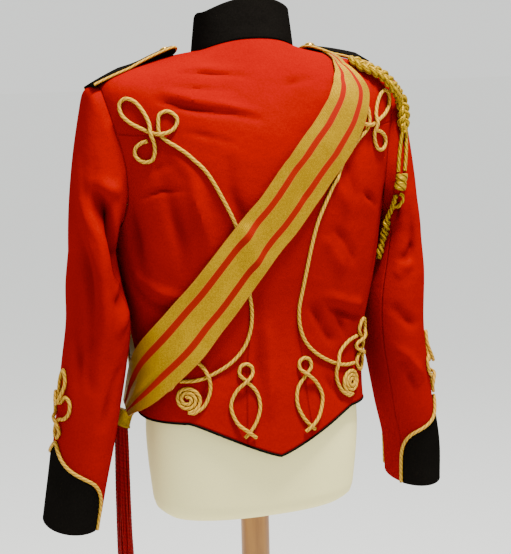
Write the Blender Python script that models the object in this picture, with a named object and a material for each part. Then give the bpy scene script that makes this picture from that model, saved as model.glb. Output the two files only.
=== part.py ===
"""A scarlet hussar jacket on a limbless dress form, with its shoulder sash and aiguillette.

Metres, +Z up. The wearer's front faces -Y and the wearer's left is +X. The origin is the middle of the underside of
the stand's base.

The tables are in millimetres and degrees. "down" is the drop below the nape, the middle of the neck seam at the back,
measured on the centre back. An angle on the body is 0 at the side, 90 at the centre back and -90 at the centre front.
A turn round a sleeve is 0 on its outer side, 90 at its back, 180 on its inner side and 270 at its front.
"""

import math
from collections import namedtuple

import bmesh
import bpy
import numpy as np

COLLECTION = "hussar_jacket"
MM = 0.001
NAPE_HEIGHT = 1.430

CLOTH_WALL = 2.0
SNAP = 0.6  # a corner of an outline this near to a line between cells is moved to it
COLLAR_WALL = 2.6
CUFF_WALL, CUFF_LAY = 1.6, 0.95
SEAM_GAP = 0.3
LAY_GAP = 0.6  # between a trim and the cloth that it lies on, whose facets stand a little off its true surface
SIDES = (("left", 1), ("right", -1))

# The cloth's facets meet at every CELL of angle round the figure, and at these distances along it.
CELL = 11.25
BODY_LINES = (20, 40, 60, 76, 90, 106, 130, 162, 198, 236, 276, 318, 360, 402, 444, 486, 528)
SLEEVE_CELL = 30.0
SLEEVE_LINES = (10, 24, 48, 78, 112, 155, 200, 242, 286, 330, 374, 418, 462, 508)

Ring = namedtuple("Ring", "back_drop side_drop front_drop half_width back_y front_y")
TORSO = [
    Ring(0, 16, 72, 66, 42, -86),
    Ring(20, 21, 88, 98, 56, -94),
    Ring(40, 30, 104, 138, 70, -100),
    Ring(62, 41, 120, 178, 83, -105),
    Ring(88, 58, 136, 207, 95, -110),
    Ring(118, 100, 152, 211, 104, -114),
    Ring(155, 150, 172, 206, 109, -120),
    Ring(205, 205, 210, 199, 110, -126),
    Ring(260, 260, 260, 191, 106, -126),
    Ring(315, 315, 315, 183, 99, -121),
    Ring(370, 370, 370, 172, 91, -114),
    Ring(425, 425, 425, 162, 88, -109),
    Ring(480, 480, 480, 160, 95, -108),
    Ring(535, 535, 535, 163, 103, -108),
    Ring(590, 590, 590, 166, 106, -108),
    Ring(650, 650, 650, 166, 106, -108),
]
ROUNDNESS = 0.86  # under 1, so that the back is flatter than an ellipse and the sides are rounder

ARMHOLE_TOP, ARMHOLE_BOTTOM = 88.0, 250.0
ARMHOLE_BACK, ARMHOLE_FRONT = 25.0, 33.0  # how far the armhole reaches round the body
HEM_SIDE, HEM_BACK_POINT, HEM_FRONT_POINT = 503.0, 554.0, 522.0
HEM_STRAIGHT, HEM_CURVE = 45.0, 1.3  # the hem is level up to this angle, then dips to its point

Mark = namedtuple("Mark", "angle down")
BACK_SEAM = [  # the seam between the back and the side back, from the armhole to the hem
    Mark(22.1, 131), Mark(33, 130.5), Mark(43, 129.5), Mark(50, 134), Mark(55, 141), Mark(60, 151.5),
    Mark(65, 168), Mark(69, 190), Mark(73, 218), Mark(76, 243), Mark(78, 272), Mark(79.5, 305),
    Mark(80.7, 335), Mark(81.3, 360), Mark(80.8, 385), Mark(79.5, 410), Mark(78.3, 438), Mark(77.5, 470),
    Mark(76.8, 500), Mark(76.2, 529.6),
]

Stand = namedtuple("Stand", "up back_rise side_rise front_rise half_width back_y front_y")
COLLAR = [
    Stand(0, 0.7, -14.9, -70.7, 68, 44, -88),
    Stand(18, 17, 1, -56, 66, 43, -88),
    Stand(36, 34.5, 17.5, -40, 64, 41.5, -87),
    Stand(54, 52, 34, -24, 62, 40, -86),
]
COLLAR_OPENING = 1.5  # degrees on each side of the centre front

Section = namedtuple("Section", "down across left_x right_x y deep")
SLEEVE = [
    Section(275, 28, 221, 221, -4, 68),
    Section(320, 35, 221, 219, -2, 66),
    Section(370, 41, 218, 216, 0, 63),
    Section(425, 42, 225, 220, -2, 60),
    Section(480, 41, 233, 231, -6, 57),
    Section(535, 40, 241, 243, -12, 54),
    Section(590, 38, 250, 256, -18, 52),
    Section(645, 37, 258, 262, -26, 50),
]
CAP = 200.0  # the sleeve's length coordinate runs from 0 at the armhole through here, where the tube begins
SLEEVE_END = CAP + SLEEVE[-1].down - SLEEVE[0].down
CAP_START, CAP_FINISH = 0.38, 0.9  # how far the sleeve head swells out of the armhole, and then falls
CAP_PUFF, CAP_PUFF_AT = 10.0, 0.10  # the roll of the sleeve head over the shoulder's end, and where it is fullest
HIND_SEAM, FORE_SEAM = 142.0, 232.0
Cuff = namedtuple("Cuff", "turn along")
CUFF_POINT = {"left": Cuff(8, 456), "right": Cuff(28, 446)}
CUFF_EDGE = [  # the pointed cuff's upper edge, from its point: share of the way to a seam, and length down the sleeve
    Cuff(0, 0), Cuff(0.17, 17), Cuff(0.35, 28), Cuff(0.55, 36), Cuff(0.75, 45), Cuff(0.89, 58), Cuff(0.97, 75),
    Cuff(1, 102),
]
CUFF_BACK_REACH, CUFF_FRONT_END = 113.0, -122.0

CORD = 2.5  # radius of the gold cord
CORD_LAY = 0.95  # between it and the cloth
CORD_STRAY, CORD_LONGEST = 0.9, 28.0  # how far, and for how long, its facets leave its true course
PIPING, PIPING_GAP = 2.0, 0.94

Lay = namedtuple("Lay", "angle down lift")  # lift is in cord diameters, where one pass crosses over another
BACK_KNOT = [
    Lay(41.4, 135.5, 0.1), Lay(38.0, 138, 0), Lay(34.2, 144, 0), Lay(33.6, 151.5, 0), Lay(37.5, 157.5, 0),
    Lay(42, 155.5, 0), Lay(44.2, 147, 0), Lay(44.6, 137, 0.3), Lay(43.8, 127.5, 1.1), Lay(43.3, 116, 0.4),
    Lay(40.5, 105, 0), Lay(36, 97, 0), Lay(30.5, 96, 0), Lay(27, 102.5, 0), Lay(28, 111, 0), Lay(32.5, 117, 0),
    Lay(38.5, 122, 0), Lay(44.2, 126.3, 0), Lay(48.2, 126.8, 1.1), Lay(52.6, 123, 0.3), Lay(55.6, 115, 0),
    Lay(56, 107, 0), Lay(52.6, 101.5, 0), Lay(48.6, 106, 0), Lay(47.6, 115, 0), Lay(47.8, 126, 0),
    Lay(50.6, 134, 0), Lay(55, 141, 0), Lay(60, 151.5, 0), Lay(65, 168, 0), Lay(69, 190, 0), Lay(73, 218, 0),
    Lay(76, 243, 0), Lay(78, 272, 0), Lay(79.5, 305, 0), Lay(80.7, 335, 0), Lay(81.5, 360, 0), Lay(80.5, 385, 0),
    Lay(77, 408, 0), Lay(70, 427, 0), Lay(60, 441, 0), Lay(51, 447, 0), Lay(41.2, 448, 0),
]
KNOT_SHIFT, KNOT_SHIFT_FROM, KNOT_SHIFT_TO = {"left": 0, "right": 2.6}, 160.0, 135.0  # clear of the aiguillette
ROSETTE_CENTRE = Mark(45, 472)
ROSETTE_START, ROSETTE_PITCH, ROSETTE_TURNS = 3.0, 5.5, 2.6
ROSETTE_TAIL = [
    Lay(48.6, 490.6, 0), Lay(54.5, 482, 0), Lay(58, 468, 0), Lay(59.2, 455, 0.4), Lay(58.6, 442.5, 1.15),
    Lay(56, 429, 0.3), Lay(51, 419, 0), Lay(45, 413, 0), Lay(39, 411, 0),
]

Step = namedtuple("Step", "across down lift")  # millimetres from a figure's own middle, across towards its right
SIDE_KNOT_LAY = 0.08  # in cord diameters, since this knot lies over the hip's tightest curve
SIDE_KNOT_CENTRE = Mark(31, 414)
SIDE_KNOT = [
    Step(0, 47, 0), Step(11, 38, 0), Step(9, 28, 0), Step(0, 22, 0), Step(-12, 15, 0), Step(-13, 8, 0), Step(0, 0, 0),
    Step(9, -9, 0), Step(8, -18, 0), Step(0, -25, 0), Step(-8, -18, 0), Step(-9, -9, 0.2), Step(0, 0, 1.1),
    Step(13, 8, 0.2), Step(12, 15, 0.2), Step(0, 22, 1.1), Step(-9, 28, 0.2), Step(-11, 38, 0),
]
EIGHT_CENTRE = Mark(77.4, 451)
EIGHT = [
    Step(-7, 75, 0), Step(0, 69, 0), Step(10, 55, 0), Step(16, 36, 0), Step(13, 16, 0), Step(0, 0, 0), Step(-8, -9, 0),
    Step(-6.5, -19, 0), Step(1, -23, 0), Step(8.5, -19, 0), Step(9, -9, 0.2), Step(0, 0, 1.1), Step(-15, 13, 0.2),
    Step(-24, 32, 0), Step(-17, 54, 0.2), Step(-3, 67, 1.1), Step(8, 76, 0.2),
]
SLEEVE_KNOT_ABOVE, SLEEVE_KNOT_LAY = 42.0, -0.06  # from the cuff's point to its middle, and how it beds in
SLEEVE_KNOT = [
    Step(-3, 33, 0), Step(-8, 24, 0), Step(-5, 14, 0), Step(4, 6, 0), Step(16, 2, 0), Step(25, -8, 0),
    Step(24, -22, 0), Step(13, -27, 0), Step(0, -16, 0), Step(-8, -29, 0), Step(-9, -46, 0), Step(0, -61, 0),
    Step(9, -46, 0), Step(8, -29, 0.7), Step(0, -15, 1.15), Step(-13, -27, 0.6), Step(-24, -22, 0),
    Step(-25, -8, 0), Step(-16, 2, 0), Step(-4, 6, 1.0), Step(5, 14, 0.5), Step(8, 24, 0), Step(3, 33, 0),
]

Strap = namedtuple("Strap", "outer inner bow leans")
STRAPS = {  # the board's two ends from the nape, how it bows up between them and how its back edge lifts along it
    "left": Strap((218, -2, -54), (98, -8, -13.6), 5, ((0, -1), (0.4, -6), (1, 24))),
    "right": Strap((176, 0, -30), (86, -6, -13.5), 2.5, ((0, -6), (0.6, -2), (1, 14))),
}
STRAP_WALL = 3.0
STRAP_OUTER_WIDTH, STRAP_INNER_WIDTH, STRAP_TIP = 46.0, 38.0, 14.0
STRAP_CORD = 1.8
STRAP_STEP = 0.2  # of its length
STRAP_BUTTON_IN, STRAP_BUTTON_LIFT = 13.0, 0.7

BUTTON_RADIUS, BUTTON_HEIGHT, BUTTON_SIDES = 7.5, 5.0, 8
BUTTON_DOME = ((0.9, 0), (1, 0.25), (0.75, 0.75), (0.3, 1))  # shares of the radius and of the height, from its back
FRONT_BUTTONS, FRONT_BUTTON_FIRST, FRONT_BUTTON_LAST, FRONT_BUTTON_ANGLE = 8, 22.0, 485.0, -85.0

SASH_REACH = 7.0  # degrees of the body's turn, over which the sash takes the cloth's size
SASH_WIDTH, SASH_WALL, SASH_CELL = 70.0, 1.4, (70 / 3, 25.0)
SASH_APART = 0.6  # of each run from the line where they meet on the shoulder
SASH_MEET, SASH_UNDER = 400.0, 4.5  # below this drop the front run lies this much closer in, under the back run
Band = namedtuple("Band", "angle down off spread")  # spread is the share of the sash's width that is open there
SASH = [  # its middle line from the top of the right shoulder over the back to the left hip
    Band(180, 31, 2.2, 0.2), Band(160, 31, 2.4, 0.2), Band(139.5, 44, 3, 0.2), Band(133.5, 52, 3.6, 0.3),
    Band(128.6, 63, 4.6, 0.46), Band(125, 73, 5.4, 0.62), Band(122.3, 83, 7, 0.73), Band(118.3, 98, 8, 0.87),
    Band(111, 127, 8.2, 1), Band(98, 182, 7, 1), Band(90, 228, 6.4, 1), Band(84, 258, 6.4, 1), Band(67, 329, 6.8, 1),
    Band(56, 362, 8.5, 1), Band(44, 393, 12.5, 1), Band(24, 432, 14, 0.95), Band(8, 464, 17, 0.78),
    Band(-2, 494, 21, 0.36),
]

KEEPER_CENTRE, KEEPER_HALF, KEEPER_HEIGHT = (185, -20, -510), (11.5, 11), 22.0
KEEPER_LEAN, KEEPER_SLANT = -0.33, 0.45  # how far it steps to the wearer's right going up, and its ends' slope
TASSEL_HEAD, TASSEL_HEAD_RADIUS = 9.0, 10.5
TASSEL_CELLS, TASSEL_LENGTH, TASSEL_SPREAD = 5, 255.0, 0.35
TASSEL_STEPS = (0.05, 0.5, 1.0)

PLAIT_HALF_WIDTH, PLAIT_HALF_DEPTH, PLAIT_STITCH = 9.6, 5.2, 11.0
AIG_CORD = 2.7
PLAIT_CORD_GAP, PLAIT_CORD_APART = 1.6, 3.6  # from the plait's end to its two cords, and from its middle to each
Rope = namedtuple("Rope", "cloth u v off radius")  # its middle line over the body's or the sleeve's right side
PLAIT = [
    Rope("body", 27, 47, 6, 7), Rope("body", 31.5, 53, 5.9, 9), Rope("body", 35, 61, 6.6, 9),
    Rope("body", 36, 71, 10.5, 9),
    Rope("body", 34.4, 83, 12, 9), Rope("body", 30.5, 96, 12.5, 9), Rope("sleeve", 44, 8, 12, 9),
    Rope("sleeve", 52, 22, 9.5, 9), Rope("sleeve", 57, 37, 6.4, 9), Rope("sleeve", 61, 50, 5.7, 7),
]
PLAIT_CORDS = {
    "back": [Rope("sleeve", 71, 50, 3.2, 1), Rope("sleeve", 80, 57, 2.9, 1), Rope("sleeve", 91, 67, 3.6, 1)],
    "side": [Rope("sleeve", 58, 66, 3.2, 1), Rope("sleeve", 68, 77, 2.9, 1), Rope("sleeve", 79.5, 86, 3.6, 1)],
}
WRAP = [
    Rope("sleeve", 87.6, 78, 6.6, 5.2), Rope("sleeve", 88.4, 79.5, 6.6, 6.3), Rope("sleeve", 91.6, 83, 6.6, 6.3),
    Rope("sleeve", 93.4, 85, 6.6, 5.4), Rope("sleeve", 94.6, 86.5, 6.6, 6.3), Rope("sleeve", 99, 90, 6.6, 6.3),
    Rope("sleeve", 100.6, 91.5, 6.6, 5.2),
]
CHAIN = [
    Rope("sleeve", 110, 88, 3.6, 2.7), Rope("sleeve", 121.5, 98, 3.6, 2.7), Rope("sleeve", 134, 110, 4, 2.7),
    Rope("sleeve", 142, 128, 5, 3), Rope("sleeve", 142.5, 150, 5.6, 5), Rope("sleeve", 144, 164, 5.4, 3.2),
    Rope("sleeve", 146, 180, 5.6, 5), Rope("sleeve", 147.5, 193, 5.4, 3.2), Rope("sleeve", 148.5, 205, 5.4, 4.6),
    Rope("sleeve", 150.5, 216, 5, 3), Rope("sleeve", 152.5, 228, 4.6, 4.2), Rope("sleeve", 154, 238, 4, 2.7),
]
LOOP = [
    Rope("sleeve", 102, 99, 3.6, 1), Rope("sleeve", 99.5, 109, 3.4, 1), Rope("sleeve", 103, 117, 3.4, 1),
    Rope("sleeve", 111, 117, 3.4, 1), Rope("sleeve", 118, 110, 3.6, 1),
]
FRONT_CORD = [
    Rope("body", -36, 232, 3.3, 1), Rope("body", -42, 220, 3.3, 1), Rope("body", -54, 192, 3.3, 1),
    Rope("body", -68, 152, 3.3, 1), Rope("body", -80, 116, 3.3, 1), Rope("body", -89.5, 93, 3.3, 1),
]

Ease = namedtuple("Ease", "down off")
FORM_EASE = [  # how far the form's surface stands inside the cloth's inner face
    Ease(0, 1.2), Ease(90, 1.0), Ease(150, 1.6), Ease(220, 3), Ease(370, 4), Ease(490, 4), Ease(560, 12),
    Ease(600, 17), Ease(628, 20), Ease(640, 24), Ease(648, 36),
]
FORM_SKIPPED_LINES = (130, 198, 276, 360, 444, 528)  # of the cloth's own lines
FORM_EDGE_LINES = (566, 600, 628, 640, 648)
FORM_NECK = [
    Stand(0, -4, -22, -76, 59, 36, -80),
    Stand(18, 16, 1, -54, 57, 34, -79),
    Stand(21, 19, 4, -51, 53, 30, -75),
]
POLE_RADIUS, BASE_RADIUS, BASE_HEIGHT, BASE_EDGE = 20.0, 195.0, 28.0, 6.0

Finish = namedtuple("Finish", "colour roughness metallic")
FINISHES = {
    "scarlet_wool": Finish((0.62, 0.02, 0.01), 0.9, 0.0),
    "black_wool": Finish((0.012, 0.011, 0.010), 0.85, 0.0),
    "gold_cord": Finish((0.80, 0.55, 0.24), 0.55, 0.3),
    "gold_lace": Finish((0.72, 0.50, 0.10), 0.4, 0.6),
    "gold_plait": Finish((0.55, 0.36, 0.05), 0.5, 0.4),
    "crimson_thread": Finish((0.35, 0.005, 0.01), 0.8, 0.0),
    "gilt": Finish((0.75, 0.52, 0.18), 0.25, 1.0),
    "form_cloth": Finish((0.86, 0.80, 0.62), 0.9, 0.0),
    "wood": Finish((0.50, 0.27, 0.08), 0.5, 0.0),
}


def table(rows):
    return np.array([tuple(row) for row in rows], float)


TORSO_ROWS, COLLAR_ROWS, SLEEVE_ROWS = table(TORSO), table(COLLAR), table(SLEEVE)
CUFF_ROWS = table(CUFF_EDGE)


def row_at(rows, position):
    """The numbers at a fractional place in a table, on a smooth curve through its rows."""
    position = min(max(position, 0.0), len(rows) - 1 - 1e-9)
    i = int(position)
    f = position - i
    a = rows[i - 1] if i else 2 * rows[0] - rows[1]
    d = rows[i + 2] if i + 2 < len(rows) else 2 * rows[-1] - rows[-2]
    b, c = rows[i], rows[i + 1]
    return 0.5 * (2 * b + (c - a) * f + (2 * a - 5 * b + 4 * c - d) * f**2 + (3 * b - a - 3 * c + d) * f**3)


def row_by(rows, column, value):
    return row_at(rows, np.interp(value, rows[:, column], np.arange(len(rows))))


def power(value):
    return math.copysign(abs(value) ** ROUNDNESS, value)


def ring_point(side, angle, half_width, back_y, front_y, back_z, side_z, front_z):
    """The point at this angle of a ring whose back, side and front are at different heights."""
    s, c = math.sin(math.radians(angle)), math.cos(math.radians(angle))
    y = back_y if s > 0 else -front_y
    z = side_z + ((back_z if s > 0 else front_z) - side_z) * s * s
    return np.array([side * half_width * power(c), y * power(s), z]) * MM + np.array([0, 0, NAPE_HEIGHT])


def body_surface(side):
    def surface(angle, down):
        r = row_by(TORSO_ROWS, 0, down)
        return ring_point(side, angle, r[3], r[4], r[5], -r[0], -r[1], -r[2])

    return surface


def collar_surface(angle, up):
    r = row_by(COLLAR_ROWS, 0, -up)
    return ring_point(1, angle, r[4], r[5], r[6], r[1], r[2], r[3])


def armhole(turn):
    """The angle and drop on the body of the armhole's edge, at a turn round the sleeve."""
    s, c = math.sin(math.radians(turn)), math.cos(math.radians(turn))
    middle, half = (ARMHOLE_TOP + ARMHOLE_BOTTOM) / 2, (ARMHOLE_BOTTOM - ARMHOLE_TOP) / 2
    return (ARMHOLE_BACK if s > 0 else ARMHOLE_FRONT) * s, middle - half * c


def tube_point(side, turn, down):
    """A point of the sleeve's tube below the armhole, whose sections lie square to its own slant."""
    r = row_by(SLEEVE_ROWS, 0, down)
    ahead, behind = row_by(SLEEVE_ROWS, 0, down + 4), row_by(SLEEVE_ROWS, 0, down - 4)
    slant = math.atan2(ahead[4] - behind[4], ahead[0] - behind[0])
    s, c = math.sin(math.radians(turn)), math.cos(math.radians(turn))
    x = (r[2] if side > 0 else r[3]) + r[1] * c
    y = r[4] + r[5] * s * math.cos(slant)
    z = -down + r[5] * s * math.sin(slant)
    return np.array([side * x, y, z]) * MM + np.array([0, 0, NAPE_HEIGHT])


def sleeve_surface(side):
    body = body_surface(side)

    def surface(turn, along):
        if along >= CAP:
            return tube_point(side, turn, along - CAP + SLEEVE[0].down)
        start, finish = body(*armhole(turn)), tube_point(side, turn, SLEEVE[0].down)
        start = start + np.array([side * SEAM_GAP * 0.6 * MM, 0, 0])
        reach = np.linalg.norm(finish - start)
        out = np.array([side * 0.98, 0, -0.2]) * CAP_START * reach
        fall = np.array([0, 0, -1]) * CAP_FINISH * reach
        t = max(along, 0.0) / CAP
        roll = CAP_PUFF * max(0.0, math.cos(math.radians(turn))) * t / CAP_PUFF_AT * math.exp(1 - t / CAP_PUFF_AT)
        roll *= (1 - t) ** 2
        return (
            np.array([side * roll * MM, 0, 0])
            + start * (2 * t**3 - 3 * t**2 + 1)
            + out * (t**3 - 2 * t**2 + t)
            + finish * (3 * t**2 - 2 * t**3)
            + fall * (t**3 - t**2)
        )

    return surface


def strap_surface(name, side):
    """A board between the neck and the shoulder's end: u runs across it from its front, v along it from outside."""
    strap = STRAPS[name]
    outer, inner = (np.array(p, float) * (side, 1, 1) for p in (strap.outer, strap.inner))
    length = np.linalg.norm(inner - outer)
    along = (inner - outer) / length

    def surface(across, run):
        t = run / length
        lean = math.radians(np.interp(t, *zip(*strap.leans)))
        sideways = np.array([0, math.cos(lean), math.sin(lean)])
        centre = outer + along * run + np.array([0, 0, strap.bow * 4 * t * (1 - t)])
        return (centre + sideways * across) * MM + np.array([0, 0, NAPE_HEIGHT])

    return surface, length


def raised(surface, outward=None):
    """A function that gives a surface's point moved out along its normal, in millimetres.

    The normal points away from the body's axis, or along outward where that is given."""

    def place(u, v, out=0.0):
        point = surface(u, v)
        across = surface(u + 0.4, v) - surface(u - 0.4, v)
        along = surface(u, v + 0.8) - surface(u, v - 0.8)
        normal = np.cross(along, across)
        normal /= np.linalg.norm(normal)
        return point + normal * out * MM * (outward or 1)

    return place


BODY = {side: raised(body_surface(side), side) for _, side in SIDES}
SLEEVES = {side: raised(sleeve_surface(side), side) for _, side in SIDES}
COLLAR_PLACE = raised(collar_surface)


def scale_at(place, u, v, reach=0.5):
    """Millimetres for each unit of u and of v, measured over reach units of u on either side."""
    across = np.linalg.norm(place(u + reach, v) - place(u - reach, v)) / MM / (2 * reach)
    along = np.linalg.norm(place(u, v + 0.5) - place(u, v - 0.5)) / MM
    return max(across, 0.05), max(along, 0.05)


def steps(first, last, size):
    """Numbers from first to last, evenly, about size apart."""
    count = max(1, math.ceil(abs(last - first) / size))
    return [first + (last - first) * i / count for i in range(count + 1)]


def inset(outline, place, gap):
    """The outline drawn in by gap millimetres of cloth, all round."""
    points = np.array(outline, float)
    area = np.dot(points[:, 0], np.roll(points[:, 1], -1)) - np.dot(points[:, 1], np.roll(points[:, 0], -1))
    turn = 1 if area > 0 else -1
    drawn = []
    for i, point in enumerate(points):
        scale = np.array(scale_at(place, *point))
        before, after = ((point - points[i - 1]) * scale, (points[(i + 1) % len(points)] - point) * scale)
        normals = [turn * np.array([-e[1], e[0]]) / np.linalg.norm(e) for e in (before, after)]
        middle = normals[0] + normals[1]
        middle /= np.linalg.norm(middle)
        mitre = gap / max(0.4, float(middle @ normals[0]))
        drawn.append(tuple(point + middle * mitre / scale))
    return drawn


def collection():
    found = bpy.data.collections.get(COLLECTION)
    if found is None:
        found = bpy.data.collections.new(COLLECTION)
        bpy.context.scene.collection.children.link(found)
    return found


def material(name):
    found = bpy.data.materials.get(name)
    if found is None:
        found = bpy.data.materials.new(name)
        found.use_nodes = True
        shader = found.node_tree.nodes["Principled BSDF"]
        shader.inputs["Base Color"].default_value = (*FINISHES[name].colour, 1)
        shader.inputs["Roughness"].default_value = FINISHES[name].roughness
        shader.inputs["Metallic"].default_value = FINISHES[name].metallic
        found.diffuse_color = (*FINISHES[name].colour, 1)
    return found


def add_object(name, data, finish):
    data.materials.append(material(finish))
    obj = bpy.data.objects.new(name, data)
    collection().objects.link(obj)
    return obj


def add_mesh(name, bm, finish):
    bmesh.ops.recalc_face_normals(bm, faces=bm.faces[:])
    if bm.calc_volume(signed=True) < 0:
        bmesh.ops.reverse_faces(bm, faces=bm.faces[:])
    mesh = bpy.data.meshes.new(name)
    bm.to_mesh(mesh)
    bm.free()
    mesh.shade_smooth()
    mesh.set_sharp_from_angle(angle=math.radians(40))
    return add_object(name, mesh, finish)


def cut_piece(name, outline, place, cell, wall, finish, lift=0.0):
    """A piece of cloth: its flat outline, cut into cells, given its thickness and laid on the figure.

    The cell holds, for each way, the size of the cells or a table of the lines between them."""
    bm = bmesh.new()
    bm.faces.new([bm.verts.new((u, v, 0)) for u, v in outline])
    for axis, lines in enumerate(cell):
        values = [p[axis] for p in outline]
        if isinstance(lines, float):
            lines = [k * lines for k in range(math.ceil(min(values) / lines), math.floor(max(values) / lines) + 1)]
        normal = (1, 0, 0) if axis == 0 else (0, 1, 0)
        for line in lines:
            bmesh.ops.bisect_plane(
                bm,
                geom=bm.verts[:] + bm.edges[:] + bm.faces[:],
                dist=SNAP,
                plane_co=(line, 0, 0) if axis == 0 else (0, line, 0),
                plane_no=normal,
            )
    made = bmesh.ops.extrude_face_region(bm, geom=bm.faces[:])
    under = {v for v in made["geom"] if isinstance(v, bmesh.types.BMVert)}
    for vert in bm.verts:
        u, v, _ = vert.co
        vert.co = place(u, v, lift - (wall if vert in under else 0.0))
    return add_mesh(name, bm, finish)


def smooth(rows, per_span, cyclic=False):
    """Points on a smooth curve through the rows, with per_span of them to a row."""
    rows = table(rows)
    count = len(rows)
    if not cyclic:
        return [row_at(rows, i / per_span) for i in range((count - 1) * per_span)] + [rows[-1]]
    wrapped = np.concatenate([rows[-1:], rows, rows[:2]])
    return [row_at(wrapped, 1 + i / per_span) for i in range(count * per_span)]


def thinned(points, cyclic):
    """The fewest of these points that keep a middle line within CORD_STRAY of its true course."""
    points = [np.array(p, float) for p in points]
    if cyclic:
        half = len(points) // 2
        return thinned(points[: half + 1], False)[:-1] + thinned(points[half:] + points[:1], False)[:-1]
    first, last = points[0], points[-1]
    chord = last - first
    length = max(float(np.linalg.norm(chord)), 1e-9)
    strays = [np.linalg.norm(np.cross(p - first, chord)) / length for p in points[1:-1]]
    if not strays or (max(strays) < CORD_STRAY * MM and length < CORD_LONGEST * MM):
        return [first, last]
    worst = 1 + (int(np.argmax(strays)) if max(strays) > 1e-7 else len(strays) // 2)
    return thinned(points[: worst + 1], False)[:-1] + thinned(points[worst:], False)


def tube(name, points, radius, finish, cyclic=False, resolution=1):
    points = thinned(points, cyclic)
    curve = bpy.data.curves.new(name, "CURVE")
    curve.dimensions = "3D"
    spline = curve.splines.new("POLY")
    spline.points.add(len(points) - 1)
    for target, point in zip(spline.points, points):
        target.co = (*point, 1)
    spline.use_cyclic_u = cyclic
    curve.bevel_depth = radius * MM
    curve.bevel_resolution = resolution
    curve.use_fill_caps = not cyclic
    return add_object(name, curve, finish)


def laid(rows, place, radius=CORD, per_span=4, cyclic=False):
    """A cord's middle line, laid on cloth, where a lift takes it over another pass."""
    height = radius + CORD_LAY
    return [place(u, v, height + lift * 2 * radius) for u, v, lift in smooth(rows, per_span, cyclic)]


def figure(rows, centre, place):
    """A figure's own steps turned into places on the cloth round its middle."""
    across, along = scale_at(place, centre[0], centre[1])
    return [(centre[0] + r[0] / across, centre[1] + r[1] / along, r[2]) for r in rows]


def loft(name, rings, finish):
    """A closed solid through rings of points, the same number in each."""
    bm = bmesh.new()
    loops = [[bm.verts.new(tuple(p)) for p in ring] for ring in rings]
    count = len(loops[0])
    for first, second in zip(loops, loops[1:]):
        for i in range(count):
            j = (i + 1) % count
            bm.faces.new((first[i], first[j], second[j], second[i]))
    bm.faces.new(loops[0])
    bm.faces.new(loops[-1])
    return add_mesh(name, bm, finish)


def hem(angle):
    """The hem's drop at an angle on either side."""
    dip = HEM_BACK_POINT if angle > 0 else HEM_FRONT_POINT
    t = max(0.0, (abs(angle) - HEM_STRAIGHT) / (90 - HEM_STRAIGHT))
    return HEM_SIDE + (dip - HEM_SIDE) * t**HEM_CURVE


def armhole_line(first_turn, last_turn):
    return [armhole(t) for t in steps(first_turn, last_turn, 12)]


def seam_turn():
    """The turn round the armhole where the back seam meets it."""
    middle, half = (ARMHOLE_TOP + ARMHOLE_BOTTOM) / 2, (ARMHOLE_BOTTOM - ARMHOLE_TOP) / 2
    return math.degrees(math.acos((middle - BACK_SEAM[0].down) / half))


def joined(*runs):
    """Runs of points made one outline, without the points that repeat."""
    outline = []
    for point in (p for run in runs for p in run):
        if not outline or math.dist(point, outline[-1]) > 1e-6:
            outline.append(tuple(point))
    if math.dist(outline[0], outline[-1]) < 1e-6:
        outline.pop()
    return outline


def torso_piece(name, side, outline):
    place = BODY[side]
    return cut_piece(name, inset(outline, place, SEAM_GAP / 2), place, (CELL, BODY_LINES), CLOTH_WALL, "scarlet_wool")


def build_torso():
    turn = seam_turn()
    seam = [armhole(turn), *(tuple(m) for m in BACK_SEAM[1:])]
    half = joined([(90, 0), (0, 0), (0, ARMHOLE_TOP)], armhole_line(0, turn), seam)
    lower = [(a, hem(a)) for a in steps(BACK_SEAM[-1].angle, 90, 4.6)]
    left_half = joined(half, lower)
    right_half = [(180 - a, d) for a, d in reversed(left_half)]
    torso_piece("back", 1, joined(left_half, right_half))
    for name, side in SIDES:
        below = [(a, hem(a)) for a in steps(0, BACK_SEAM[-1].angle, 9)]
        side_back = joined(armhole_line(turn, 180), [(0, HEM_SIDE)], below, reversed(seam))
        torso_piece(f"side_back_{name}", side, side_back)
        front = joined(
            [(0, 0)], [(-90, 0)], [(a, hem(a)) for a in steps(-90, 0, 9)], armhole_line(180, 360), [(0, 0)]
        )
        torso_piece(f"front_{name}", side, front)


def build_collar():
    first, last = -90 + COLLAR_OPENING, 270 - COLLAR_OPENING
    outline = [(first, 0), (last, 0), (last, -COLLAR[-1].up), (first, -COLLAR[-1].up)]
    cut_piece("collar", outline, COLLAR_PLACE, (CELL, 27.0), COLLAR_WALL, "black_wool")


def cuff_line(name):
    """The cuff's upper edge from the seam in front, over its point, to the seam behind."""
    point = CUFF_POINT[name]
    front = [(point.turn + share * (CUFF_FRONT_END - point.turn), point.along + down) for share, down in CUFF_EDGE]
    back = [(point.turn + share * CUFF_BACK_REACH, point.along + down) for share, down in CUFF_EDGE]
    return [*reversed(front), *back[1:]]


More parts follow.
